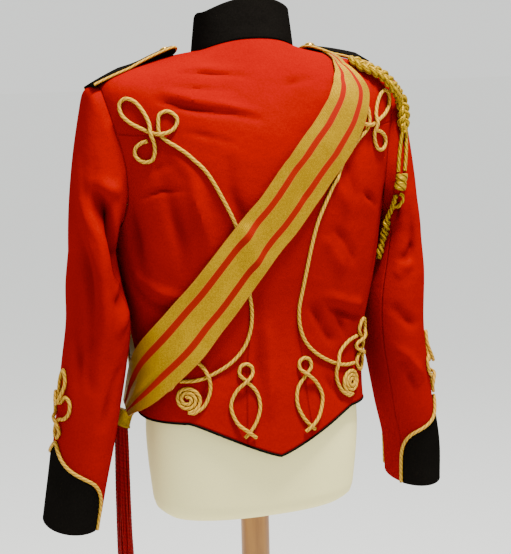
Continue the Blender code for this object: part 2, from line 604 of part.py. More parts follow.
def build_sleeve(name, side):
    place = SLEEVES[side]
    cell = (SLEEVE_CELL, SLEEVE_LINES)
    pieces = {"top_sleeve": (FORE_SEAM - 360, HIND_SEAM), "under_sleeve": (HIND_SEAM, FORE_SEAM)}
    for piece, (first, last) in pieces.items():
        outline = [(first, 0.3), (last, 0.3), (last, SLEEVE_END), (first, SLEEVE_END)]
        cut_piece(f"{piece}_{name}", inset(outline, place, SEAM_GAP), place, cell, CLOTH_WALL, "scarlet_wool")
    line = cuff_line(name)
    outline = joined([(line[0][0], SLEEVE_END)], line, [(line[-1][0], SLEEVE_END)])
    cut_piece(f"cuff_{name}", outline, place, cell, CUFF_WALL, "black_wool", CUFF_WALL + CUFF_LAY)
    edge = offset_line(line, place, CORD + CORD_LAY)
    edge = [(edge[0][0], SLEEVE_END - 1), *edge[1:-1], (edge[-1][0], SLEEVE_END - 1)]
    tube(f"cuff_cord_{name}", laid([(u, v, 0) for u, v in edge], place), CORD, "gold_cord")
    point = CUFF_POINT[name]
    knot = figure(SLEEVE_KNOT, (point.turn, point.along - SLEEVE_KNOT_ABOVE), place)
    knot = [(u, v, lift + SLEEVE_KNOT_LAY) for u, v, lift in knot]
    tube(f"sleeve_knot_{name}", laid(knot, place), CORD, "gold_cord")


def offset_line(line, place, gap):
    """An open line moved to its left by gap millimetres of cloth, where u runs right and v runs down."""
    points = np.array(line, float)
    moved = []
    for i, point in enumerate(points):
        scale = np.array(scale_at(place, *point))
        run = (points[min(i + 1, len(points) - 1)] - points[max(i - 1, 0)]) * scale
        run /= np.linalg.norm(run)
        moved.append(tuple(point + np.array([run[1], -run[0]]) * gap / scale))
    return moved


def build_back_trim(name, side):
    place = BODY[side]
    span = KNOT_SHIFT_FROM - KNOT_SHIFT_TO
    knot = [
        (angle + KNOT_SHIFT[name] * min(1, max(0, (KNOT_SHIFT_FROM - down) / span)), down, lift)
        for angle, down, lift in BACK_KNOT
    ]
    tube(f"back_knot_{name}", laid(knot, place), CORD, "gold_cord")
    turns = steps(0, ROSETTE_TURNS * 360, 15)
    radii = [ROSETTE_START + ROSETTE_PITCH * t / 360 for t in turns]
    start = math.radians(90 - ROSETTE_TURNS * 360)
    bearings = [start + math.radians(t) for t in turns]
    spiral = [(r * math.cos(b), r * math.sin(b), 0) for b, r in zip(bearings, radii)]
    spiral = figure(spiral, ROSETTE_CENTRE, place)
    tail = smooth(ROSETTE_TAIL, 4)
    height = CORD + CORD_LAY
    points = [place(u, v, height + lift * 2 * CORD) for u, v, lift in [*spiral, *tail]]
    tube(f"rosette_{name}", points, CORD, "gold_cord")
    knot = [(u, v, lift + SIDE_KNOT_LAY) for u, v, lift in figure(SIDE_KNOT, SIDE_KNOT_CENTRE, place)]
    tube(f"side_knot_{name}", laid(knot, place, cyclic=True), CORD, "gold_cord", True)
    tube(f"seam_eight_{name}", laid(figure(EIGHT, EIGHT_CENTRE, place), place), CORD, "gold_cord")


def build_piping():
    out = -CLOTH_WALL / 2
    points = [BODY[1](a, hem(a) + PIPING + PIPING_GAP, out) for a in steps(-89, 90, 5.0)]
    points += [BODY[-1](a, hem(a) + PIPING + PIPING_GAP, out) for a in steps(90, -89, 5.0)[1:]]
    tube("hem_piping", points, PIPING, "black_wool", resolution=0)


def strap_outline(length, margin=0.0):
    """The board's outline from its outer end along one edge, round its tip and back."""
    outer, inner = STRAP_OUTER_WIDTH / 2 + margin, STRAP_INNER_WIDTH / 2 + margin
    turn = [(inner * math.cos(math.radians(a)), length - STRAP_TIP + (STRAP_TIP + margin) * math.sin(math.radians(a)))
            for a in steps(0, 180, 30)]
    run = [(outer + (inner - outer) * t, (length - STRAP_TIP) * t) for t in steps(0, 1, STRAP_STEP)[:-1]]
    return [*run, *turn, *((-u, v) for u, v in reversed(run))]


def build_strap(name, side):
    surface, length = strap_surface(name, side)
    place = raised(surface, -side)
    outline = strap_outline(length)
    cut_piece(f"strap_{name}", outline, place, (24.0, 24.0), STRAP_WALL, "black_wool")
    edge = strap_outline(length, STRAP_CORD + SEAM_GAP)
    points = [place(u, v, -STRAP_WALL / 2) for u, v in edge]
    tube(f"strap_cord_{name}", points, STRAP_CORD, "gold_cord")
    button(f"strap_button_{name}", place, 0, length - STRAP_BUTTON_IN, STRAP_BUTTON_LIFT)


def button(name, place, u, v, lift=0.0):
    """A domed button, its back just clear of the cloth."""
    middle = place(u, v, SEAM_GAP + lift)
    normal = place(u, v, SEAM_GAP + lift + 1) - middle
    normal /= np.linalg.norm(normal)
    across = np.cross(normal, (0.3, 0.1, 0.9))
    across /= np.linalg.norm(across)
    other = np.cross(normal, across)
    rings = []
    for share, rise in BUTTON_DOME:
        centre = middle + normal * rise * BUTTON_HEIGHT * MM
        rings.append([centre + (across * math.cos(a) + other * math.sin(a)) * BUTTON_RADIUS * share * MM
                      for a in (2 * math.pi * i / BUTTON_SIDES for i in range(BUTTON_SIDES))])
    loft(name, rings, "gilt")


def build_buttons():
    gap = (FRONT_BUTTON_LAST - FRONT_BUTTON_FIRST) / (FRONT_BUTTONS - 1)
    for i in range(FRONT_BUTTONS):
        button(f"front_button_{i + 1}", BODY[1], FRONT_BUTTON_ANGLE, FRONT_BUTTON_FIRST + i * gap)


def sash_place(front):
    """The sash's own surface: u across it and v along it from the top of the shoulder, both in millimetres."""
    rows = []
    for band in SASH:
        off = band.off - SASH_UNDER * (band.down > SASH_MEET) if front else band.off
        rows.append((360 - band.angle if front else band.angle, band.down, off, band.spread))
    rows = table(rows)
    fine = [row_at(rows, i / 8) for i in range((len(rows) - 1) * 8 + 1)]
    line = [BODY[1](r[0], r[1], r[2]) for r in fine]
    lengths = np.concatenate([[0], np.cumsum([np.linalg.norm(b - a) for a, b in zip(line, line[1:])])]) / MM

    def surface(across, along):
        where = np.interp(along, lengths, np.arange(len(fine))) / 8
        here, ahead = row_at(rows, where), row_at(rows, min(where + 0.1, len(rows) - 1.001))
        behind = row_at(rows, max(where - 0.1, 0))
        scale = np.array(scale_at(BODY[1], here[0], here[1], SASH_REACH))
        run = (ahead[:2] - behind[:2]) * scale
        run /= np.linalg.norm(run)
        sideways = np.array([-run[1], run[0]]) * across * here[3] / scale
        return BODY[1](here[0] + sideways[0], here[1] + sideways[1], here[2])

    return raised(surface, -1), float(lengths[-1])


def build_sash():
    for name, front in (("sash_back", False), ("sash_front", True)):
        place, length = sash_place(front)
        half = SASH_WIDTH / 2
        outline = [(-half, SASH_APART), (half, SASH_APART), (half, length), (-half, length)]
        cut_piece(name, outline, place, SASH_CELL, SASH_WALL, "gold_lace", SASH_WALL)


def oval(centre, half_x, half_y, count):
    centre = np.array(centre) + (0, 0, NAPE_HEIGHT / MM)
    turns = [2 * math.pi * i / count for i in range(count)]
    return [(centre + (half_x * math.cos(t), half_y * math.sin(t), 0)) * MM for t in turns]


def leaning(point):
    """A point of the upright keeper, moved as the keeper leans."""
    x, y, z = point
    dx, dz = x - KEEPER_CENTRE[0] * MM, z - NAPE_HEIGHT - KEEPER_CENTRE[2] * MM
    return (x + KEEPER_LEAN * dz, y, z + KEEPER_SLANT * dx)


def build_keeper():
    x, y, z = KEEPER_CENTRE
    half = KEEPER_HEIGHT / 2
    profile = ((half, 0.8), (half - 3, 1), (0, 0.9), (3 - half, 1), (-half, 0.85))
    rings = [
        [leaning(p) for p in oval((x, y, z + up), KEEPER_HALF[0] * s, KEEPER_HALF[1] * s, 14)] for up, s in profile
    ]
    loft("sash_keeper", rings, "gold_lace")


def build_tassel():
    """A round head, its underside cut into cells, each drawn down into a four-sided strand that stands apart."""
    drop = KEEPER_HEIGHT / 2 + SEAM_GAP
    top, shift = KEEPER_CENTRE[2] - drop, -KEEPER_LEAN * drop
    bm = bmesh.new()
    bmesh.ops.create_grid(bm, x_segments=TASSEL_CELLS, y_segments=TASSEL_CELLS, size=1.0)
    for vert in bm.verts:  # the square grid made round
        x, y, _ = vert.co
        vert.co = (x * math.sqrt(1 - y * y / 2), y * math.sqrt(1 - x * x / 2), 0)
    made = bmesh.ops.extrude_face_region(bm, geom=bm.faces[:])
    lid = {v for v in made["geom"] if isinstance(v, bmesh.types.BMVert)}
    cells = [f for f in bm.faces if all(v not in lid for v in f.verts)]
    for vert in lid:
        vert.co.z = TASSEL_HEAD / TASSEL_HEAD_RADIUS
    bmesh.ops.inset_individual(bm, faces=cells, thickness=0.045, use_even_offset=True)
    for share in TASSEL_STEPS:
        cells = bmesh.ops.extrude_discrete_faces(bm, faces=cells)["faces"]
        for face in cells:
            middle = face.calc_center_median()
            outward = 1 + TASSEL_SPREAD * (share - 0.3 * share * share)
            sway = 0.04 * math.sin(7 * middle.x + 3 * share) * share
            for vert in face.verts:
                away = vert.co - middle
                root = middle * (outward / (1 + TASSEL_SPREAD * max(0.0, share - 0.32)))
                vert.co = (root.x + away.x + sway, root.y + away.y, -share * TASSEL_LENGTH / TASSEL_HEAD_RADIUS)
    for vert in bm.verts:
        x, y, z = vert.co * TASSEL_HEAD_RADIUS
        z += NAPE_HEIGHT / MM + top - TASSEL_HEAD + KEEPER_SLANT * x
        vert.co = np.array([x + KEEPER_CENTRE[0] + shift, y + KEEPER_CENTRE[1], z]) * MM
    add_mesh("sash_tassel", bm, "crimson_thread")


def build_form():
    """The limbless form inside the jacket, from its rounded bottom edge to its short neck."""
    eases = table(FORM_EASE)
    downs = [line for line in BODY_LINES if line not in FORM_SKIPPED_LINES] + list(FORM_EDGE_LINES)
    angles = [CELL * i for i in range(-8, 24)]
    rings = []
    for stand in reversed(FORM_NECK):
        rings.append([ring_point(1, a, *stand[4:7], *stand[1:4]) for a in angles])
    for down in downs:
        off = CLOTH_WALL + float(np.interp(down, eases[:, 0], eases[:, 1]))
        rings.append([BODY[1](a, down, -off) for a in angles])
    loft("torso_form", rings, "form_cloth")


def turned(name, profile, sides, finish):
    """A turned solid on the stand's axis, from its radius and height at each step, in millimetres."""
    rings = [[np.array([r * math.cos(a), r * math.sin(a), z]) * MM
              for a in (2 * math.pi * i / sides for i in range(sides))] for r, z in profile]
    loft(name, rings, finish)


def build_stand():
    top = NAPE_HEIGHT / MM - FORM_EDGE_LINES[-1] - SEAM_GAP
    turned("pole", [(POLE_RADIUS, BASE_HEIGHT + SEAM_GAP), (POLE_RADIUS, top)], 16, "wood")
    edge = BASE_RADIUS - BASE_EDGE
    profile = [(edge, 0), (BASE_RADIUS, BASE_EDGE), (BASE_RADIUS, BASE_HEIGHT - BASE_EDGE), (edge, BASE_HEIGHT)]
    turned("base", profile, 40, "wood")


def rope_line(rows, per_span):
    """The middle line, the way out of the cloth and the radius at steps along a rope over the right side."""
    places = {"body": BODY[-1], "sleeve": SLEEVES[-1]}
    fixed = []
    for row in rows:
        point = places[row.cloth](row.u, row.v, row.off)
        fixed.append([*point, *(places[row.cloth](row.u, row.v, row.off + 1) - point) / MM, row.radius])
    return smooth(fixed, per_span)


def build_rope(name, rows, finish, wide=1.0, per_span=1, sides=6):
    """A rope of changing thickness, wide times as broad as it is deep."""
    line = rope_line(rows, per_span)
    rings = []
    for i, here in enumerate(line):
        run = line[min(i + 1, len(line) - 1)][:3] - line[max(i - 1, 0)][:3]
        across = np.cross(run, here[3:6])
        across /= np.linalg.norm(across)
        out = np.cross(across, run)
        out /= np.linalg.norm(out)
        turns = (2 * math.pi * (k + 0.5) / sides for k in range(sides))
        rings.append([here[:3] + (across * wide * math.cos(t) + out * math.sin(t)) * here[6] * MM for t in turns])
    loft(name, rings, finish)


def build_plait():
    """Three strands crossing in turn, drawn as one band whose edges swell where a strand comes round."""
    line = rope_line(PLAIT, 6)
    lengths = np.concatenate([[0], np.cumsum([np.linalg.norm(b[:3] - a[:3]) for a, b in zip(line, line[1:])])]) / MM
    line = np.array(line)
    count = int(lengths[-1] / PLAIT_STITCH)
    stops = np.linspace(0, lengths[-1], 2 * count + 1)
    rows = [np.array([np.interp(stop, lengths, line[:, k]) for k in range(7)]) for stop in stops]
    rings = []
    for i, here in enumerate(rows):
        run = rows[min(i + 1, len(rows) - 1)][:3] - rows[max(i - 1, 0)][:3]
        across = np.cross(run, here[3:6])
        across /= np.linalg.norm(across)
        out = np.cross(across, run)
        out /= np.linalg.norm(out)
        swell = 1.5 * (1 if i % 2 else -1)
        end = 0.75 if i in (0, len(rows) - 1) else 1.0
        left, right = (PLAIT_HALF_WIDTH + swell) * end, (PLAIT_HALF_WIDTH - swell) * end
        deep = PLAIT_HALF_DEPTH * end
        shape = ((right, 0), (0.55 * right, deep), (0, deep * 0.8), (-0.55 * left, deep), (-left, 0),
                 (-0.5 * left, -deep * 0.9), (0.5 * right, -deep * 0.9))
        rings.append([here[:3] + (across * a + out * b) * MM for a, b in shape])
    loft("aiguillette_plait", rings, "gold_plait")


def build_aiguillette():
    build_plait()
    before, end = rope_line(PLAIT, 6)[-2:]
    run = (end[:3] - before[:3]) / np.linalg.norm(end[:3] - before[:3])
    across = np.cross(run, end[3:6])
    for name, rows in PLAIT_CORDS.items():
        start = end[:3] + (run * PLAIT_CORD_GAP + across * PLAIT_CORD_APART * (1 if name == "back" else -1)) * MM
        points = [start, *(row[:3] for row in rope_line(rows, 3))]
        tube(f"aiguillette_cord_{name}", points, AIG_CORD, "gold_plait")
    build_rope("aiguillette_wrap", WRAP, "gold_plait", wide=1.35, sides=8)
    build_rope("aiguillette_chain", CHAIN, "gold_plait", sides=6)
    tube("aiguillette_loop", [row[:3] for row in rope_line(LOOP, 3)], AIG_CORD, "gold_plait")
    tube("aiguillette_front_cord", [row[:3] for row in rope_line(FRONT_CORD, 3)], AIG_CORD, "gold_plait")


def main():
    for obj in list(bpy.data.objects):
        bpy.data.objects.remove(obj, do_unlink=True)
    build_torso()
    build_collar()
    build_piping()
    build_buttons()
    for name, side in SIDES:
        build_sleeve(name, side)
        build_back_trim(name, side)
        build_strap(name, side)
    build_sash()
    build_keeper()
    build_tassel()
    build_aiguillette()
    build_form()
    build_stand()


main()
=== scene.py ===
"""The hussar jacket on its dress form, with its cloth, cord, lace and thread drawn as they look.

Metres, in the CAD part's frame: +Z up, the wearer's front to -Y and the wearer's left to +X. The tables are in
millimetres and degrees. "down" is the drop below the nape along the centre back. An angle on the body is 0 at the side,
90 at the centre back and -90 at the centre front. A turn round a sleeve is 0 outside, 90 behind, 180 inside and 270 in
front.
"""

from __future__ import annotations

import logging
import math
from dataclasses import dataclass, field
from enum import Enum
from typing import NamedTuple, Sequence

import bmesh
import bpy
import numpy as np
from mathutils import Matrix, Vector

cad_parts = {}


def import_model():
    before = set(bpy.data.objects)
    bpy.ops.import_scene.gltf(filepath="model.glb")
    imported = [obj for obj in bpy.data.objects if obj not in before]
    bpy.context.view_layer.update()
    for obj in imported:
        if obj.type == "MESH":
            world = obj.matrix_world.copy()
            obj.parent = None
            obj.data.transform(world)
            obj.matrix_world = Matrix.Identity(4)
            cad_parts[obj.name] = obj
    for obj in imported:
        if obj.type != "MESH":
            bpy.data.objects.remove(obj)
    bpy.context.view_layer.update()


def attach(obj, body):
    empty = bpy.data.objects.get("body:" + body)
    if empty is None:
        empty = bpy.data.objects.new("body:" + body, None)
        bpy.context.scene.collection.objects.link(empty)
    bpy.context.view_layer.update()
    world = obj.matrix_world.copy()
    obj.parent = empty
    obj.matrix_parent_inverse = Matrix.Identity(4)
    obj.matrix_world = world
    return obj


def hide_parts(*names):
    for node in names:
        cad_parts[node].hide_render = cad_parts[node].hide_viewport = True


LOG = logging.getLogger("jacket")
Array = np.ndarray
Rgb = tuple[float, float, float]
Points = Sequence[tuple[float, float]]
Curve = list[tuple[float, float]]

MM = 0.001
NAPE_HEIGHT = 1.430
CLOTH_WALL = 2.0
SEAM_GAP, SEAM_TUCK = 0.3, 0.8
CORD, CORD_LAY = 2.5, 0.25
ROUNDNESS = 0.86
TURN = 6.283
SLOPE_ROUND, SLOPE_DOWN = 0.4, 0.8
CREASE_END, CREASE_WAVE = 0.12, 0.25
SIDES = (("left", 1), ("right", -1))


class Ring(NamedTuple):
    """A ring of the body: its drop at the back, side and front, and its half width and reach behind and in front."""

    back_drop: float
    side_drop: float
    front_drop: float
    half_width: float
    back_y: float
    front_y: float


TORSO = [
    Ring(0, 16, 72, 66, 42, -86), Ring(20, 21, 88, 98, 56, -94), Ring(40, 30, 104, 138, 70, -100),
    Ring(62, 41, 120, 178, 83, -105), Ring(88, 58, 136, 207, 95, -110), Ring(118, 100, 152, 211, 104, -114),
    Ring(155, 150, 172, 206, 109, -120), Ring(205, 205, 210, 199, 110, -126), Ring(260, 260, 260, 191, 106, -126),
    Ring(315, 315, 315, 183, 99, -121), Ring(370, 370, 370, 172, 91, -114), Ring(425, 425, 425, 162, 88, -109),
    Ring(480, 480, 480, 160, 95, -108), Ring(535, 535, 535, 163, 103, -108), Ring(590, 590, 590, 166, 106, -108),
    Ring(650, 650, 650, 166, 106, -108),
]
ARMHOLE_TOP, ARMHOLE_BOTTOM, ARMHOLE_BACK, ARMHOLE_FRONT = 88.0, 250.0, 25.0, 33.0


class Mark(NamedTuple):
    """A place on the body."""

    angle: float
    down: float


BACK_SEAM = [
    Mark(33, 130.5), Mark(43, 129.5), Mark(50, 134), Mark(55, 141), Mark(60, 151.5), Mark(65, 168), Mark(69, 190),
    Mark(73, 218), Mark(76, 243), Mark(78, 272), Mark(79.5, 305), Mark(80.7, 335), Mark(81.3, 360), Mark(80.8, 385),
    Mark(79.5, 410), Mark(78.3, 438), Mark(77.5, 470), Mark(76.8, 500), Mark(76.2, 529.6),
]


class Stand(NamedTuple):
    """A ring of the collar or of the form's neck: its height at the back, side and front, and its three reaches."""

    up: float
    back_rise: float
    side_rise: float
    front_rise: float
    half_width: float
    back_y: float
    front_y: float


COLLAR = [
    Stand(0, -1.2, -16.8, -72.6, 68, 44, -88), Stand(18, 17, 1, -56, 66, 43, -88),
    Stand(36, 34.5, 17.5, -40, 64, 41.5, -87), Stand(54, 52, 34, -24, 62, 40, -86),
]
FORM_NECK = [
    Stand(0, -4, -22, -76, 59, 36, -80), Stand(18, 16, 1, -54, 57, 34, -79), Stand(21, 19, 4, -51, 53, 30, -75),
]


class Section(NamedTuple):
    """A section of the sleeve: its drop, half breadth, middle on each side, depth from front to back."""

    down: float
    across: float
    left_x: float
    right_x: float
    y: float
    deep: float


SLEEVE = [
    Section(275, 28, 221, 221, -4, 68), Section(320, 35, 221, 219, -2, 66), Section(370, 41, 218, 216, 0, 63),
    Section(425, 42, 225, 220, -2, 60), Section(480, 41, 233, 231, -6, 57), Section(535, 40, 241, 243, -12, 54),
    Section(590, 38, 250, 256, -18, 52), Section(645, 37, 258, 262, -26, 50),
]
CAP = 200.0
SLEEVE_END = CAP + SLEEVE[-1].down - SLEEVE[0].down
CAP_WAY, CAP_START, CAP_FINISH, CAP_PUFF, CAP_PUFF_AT = (0.98, 0, -0.2), 0.38, 0.9, 10.0, 0.10


class Cuff(NamedTuple):
    """A place of the cuff on the sleeve. In its edge's table, a share of the way to a seam and a drop."""

    turn: float
    along: float


CUFF_POINT = {"left": Cuff(8, 456), "right": Cuff(28, 446)}
CUFF_EDGE = [
    Cuff(0, 0), Cuff(0.17, 17), Cuff(0.35, 28), Cuff(0.55, 36), Cuff(0.75, 45), Cuff(0.89, 58), Cuff(0.97, 75),
    Cuff(1, 102),
]


class Lay(NamedTuple):
    """A place of a cord on the body, lifted by its own diameters where it crosses over itself."""

    angle: float
    down: float
    lift: float


BACK_KNOT = [
    Lay(41.4, 135.5, 0.1), Lay(38.0, 138, 0), Lay(34.2, 144, 0), Lay(33.6, 151.5, 0), Lay(37.5, 157.5, 0),
    Lay(42, 155.5, 0), Lay(44.2, 147, 0), Lay(44.6, 137, 0.3), Lay(43.8, 127.5, 1.1), Lay(43.3, 116, 0.4),
    Lay(40.5, 105, 0), Lay(36, 97, 0), Lay(30.5, 96, 0), Lay(27, 102.5, 0), Lay(28, 111, 0), Lay(32.5, 117, 0),
    Lay(38.5, 122, 0), Lay(44.2, 126.3, 0), Lay(48.2, 126.8, 1.1), Lay(52.6, 123, 0.3), Lay(55.6, 115, 0),
    Lay(56, 107, 0), Lay(52.6, 101.5, 0), Lay(48.6, 106, 0), Lay(47.6, 115, 0), Lay(47.8, 126, 0),
    Lay(50.6, 134, 0), Lay(55, 141, 0), Lay(60, 151.5, 0), Lay(65, 168, 0), Lay(69, 190, 0), Lay(73, 218, 0),
    Lay(76, 243, 0), Lay(78, 272, 0), Lay(79.5, 305, 0), Lay(80.7, 335, 0), Lay(81.5, 360, 0), Lay(80.5, 385, 0),
    Lay(77, 408, 0), Lay(70, 427, 0), Lay(60, 441, 0), Lay(51, 447, 0), Lay(41.2, 448, 0),
]
ROSETTE_CENTRE = Mark(45, 472)
ROSETTE_TAIL = [
    Lay(48.6, 490.6, 0), Lay(54.5, 482, 0), Lay(58, 468, 0), Lay(59.2, 455, 0.4), Lay(58.6, 442.5, 1.15),
    Lay(56, 429, 0.3), Lay(51, 419, 0), Lay(45, 413, 0), Lay(39, 411, 0),
]


class Step(NamedTuple):
    """A place of a cord's figure, from the figure's own middle."""

    across: float
    down: float
    lift: float


SIDE_KNOT_CENTRE = Mark(31, 414)
SIDE_KNOT = [
    Step(0, 47, 0), Step(11, 38, 0), Step(9, 28, 0), Step(0, 22, 0), Step(-12, 15, 0), Step(-13, 8, 0), Step(0, 0, 0),
    Step(9, -9, 0), Step(8, -18, 0), Step(0, -25, 0), Step(-8, -18, 0), Step(-9, -9, 0.2), Step(0, 0, 1.1),
    Step(13, 8, 0.2), Step(12, 15, 0.2), Step(0, 22, 1.1), Step(-9, 28, 0.2), Step(-11, 38, 0),
]
EIGHT_CENTRE = Mark(77.4, 451)
EIGHT = [
    Step(-7, 75, 0), Step(0, 69, 0), Step(10, 55, 0), Step(16, 36, 0), Step(13, 16, 0), Step(0, 0, 0), Step(-8, -9, 0),
    Step(-6.5, -19, 0), Step(1, -23, 0), Step(8.5, -19, 0), Step(9, -9, 0.2), Step(0, 0, 1.1), Step(-15, 13, 0.2),
    Step(-24, 32, 0), Step(-17, 54, 0.2), Step(-3, 67, 1.1), Step(8, 76, 0.2),
]
SLEEVE_KNOT = [
    Step(-3, 33, 0), Step(-8, 24, 0), Step(-5, 14, 0), Step(4, 6, 0), Step(16, 2, 0), Step(25, -8, 0),
    Step(24, -22, 0), Step(13, -27, 0), Step(0, -16, 0), Step(-8, -29, 0), Step(-9, -46, 0), Step(0, -61, 0),
    Step(9, -46, 0), Step(8, -29, 0.7), Step(0, -15, 1.15), Step(-13, -27, 0.6), Step(-24, -22, 0),
    Step(-25, -8, 0), Step(-16, 2, 0), Step(-4, 6, 1.0), Step(5, 14, 0.5), Step(8, 24, 0), Step(3, 33, 0),
]


class StrapEnds(NamedTuple):
    """A shoulder strap's two ends from the nape, its upward bow, and how its back edge lifts along it."""

    outer: tuple[float, float, float]
    inner: tuple[float, float, float]
    bow: float
    leans: tuple[tuple[float, float], ...]


STRAPS = {
    "left": StrapEnds((218, -2, -56.5), (98, -8, -13.6), 4.5, ((0, 8), (0.4, 2), (1, 24))),
    "right": StrapEnds((176, 0, -30), (86, -6, -13.5), 2.5, ((0, -14), (0.6, -9), (1, 13))),
}


class Band(NamedTuple):
    """A place of the sash's middle line, with how far off the cloth it is and the share of its width that is open."""

    angle: float
    down: float
    off: float
    spread: float


SASH = [
    Band(180, 31, 2.2, 0.2), Band(160, 31, 2.4, 0.2), Band(139.5, 44, 3, 0.2), Band(133.5, 52, 3.6, 0.3),
    Band(128.6, 63, 4.6, 0.46), Band(125, 73, 5.4, 0.62), Band(122.3, 83, 7, 0.73), Band(118.3, 98, 8, 0.87),
    Band(111, 127, 8.2, 1), Band(98, 182, 7, 1), Band(90, 228, 6.4, 1), Band(84, 258, 6.4, 1),
    Band(67, 329, 6.8, 1), Band(56, 362, 8.5, 1), Band(44, 393, 12.5, 1), Band(24, 432, 14, 0.95),
    Band(8, 464, 17, 0.82), Band(-2, 494, 21, 0.42),
]


class Rope(NamedTuple):
    """A place of a rope's middle line over the right side, on the body's or the sleeve's cloth."""

    cloth: str
    u: float
    v: float
    off: float
    radius: float


PLAIT = [
    Rope("body", 27, 47, 6, 7), Rope("body", 31.5, 53, 5.9, 9), Rope("body", 35, 61, 6.6, 9),
    Rope("body", 36, 71, 10.5, 9), Rope("body", 34.4, 83, 12, 9), Rope("body", 30.5, 96, 12.5, 9),
    Rope("sleeve", 44, 8, 12, 9), Rope("sleeve", 52, 22, 9.5, 9), Rope("sleeve", 57, 37, 6.4, 9),
    Rope("sleeve", 61, 50, 5.7, 7),
]
PLAIT_CORDS = {
    "back": [Rope("sleeve", 71, 50, 3.2, 1), Rope("sleeve", 80, 57, 2.9, 1), Rope("sleeve", 91, 67, 3.6, 1)],
    "side": [Rope("sleeve", 58, 66, 3.2, 1), Rope("sleeve", 68, 77, 2.9, 1), Rope("sleeve", 79.5, 86, 3.6, 1)],
}
WRAP = [
    Rope("sleeve", 87.6, 78, 6.6, 5.2), Rope("sleeve", 88.4, 79.5, 6.6, 6.3), Rope("sleeve", 91.6, 83, 6.6, 6.3),
    Rope("sleeve", 93.4, 85, 6.6, 5.4), Rope("sleeve", 94.6, 86.5, 6.6, 6.3), Rope("sleeve", 99, 90, 6.6, 6.3),
    Rope("sleeve", 100.6, 91.5, 6.6, 5.2),
]
CHAIN = [
    Rope("sleeve", 110, 88, 3.6, 2.7), Rope("sleeve", 121.5, 98, 3.6, 2.7), Rope("sleeve", 134, 110, 4, 2.7),
    Rope("sleeve", 142, 128, 5, 3), Rope("sleeve", 142.5, 150, 5.6, 5), Rope("sleeve", 144, 164, 5.4, 3.2),
    Rope("sleeve", 146, 180, 5.6, 5), Rope("sleeve", 147.5, 193, 5.4, 3.2), Rope("sleeve", 148.5, 205, 5.4, 4.6),
    Rope("sleeve", 150.5, 216, 5, 3), Rope("sleeve", 152.5, 228, 4.6, 4.2), Rope("sleeve", 154, 238, 4, 2.7),
]
LOOP = [
    Rope("sleeve", 102, 99, 3.6, 1), Rope("sleeve", 99.5, 109, 3.4, 1), Rope("sleeve", 103, 117, 3.4, 1),
    Rope("sleeve", 111, 117, 3.4, 1), Rope("sleeve", 118, 110, 3.6, 1),
]
FRONT_CORD = [
    Rope("body", -36, 232, 3.3, 1), Rope("body", -42, 220, 3.3, 1), Rope("body", -54, 192, 3.3, 1),
    Rope("body", -68, 152, 3.3, 1), Rope("body", -80, 116, 3.3, 1), Rope("body", -89.5, 93, 3.3, 1),
]


class Ease(NamedTuple):
    """How far the form stands inside the cloth at a drop."""

    down: float
    off: float


FORM_EASE = [
    Ease(0, 1.2), Ease(90, 1.0), Ease(150, 1.6), Ease(220, 3), Ease(370, 4), Ease(490, 4), Ease(560, 12),
    Ease(600, 17), Ease(628, 20), Ease(640, 24), Ease(648, 36),
]


class Crease(NamedTuple):
    """A soft trough in cloth, or a ridge where its depth is below nought, along a line of places."""

    depth: float
    width: float
    line: tuple[tuple[float, float], ...]


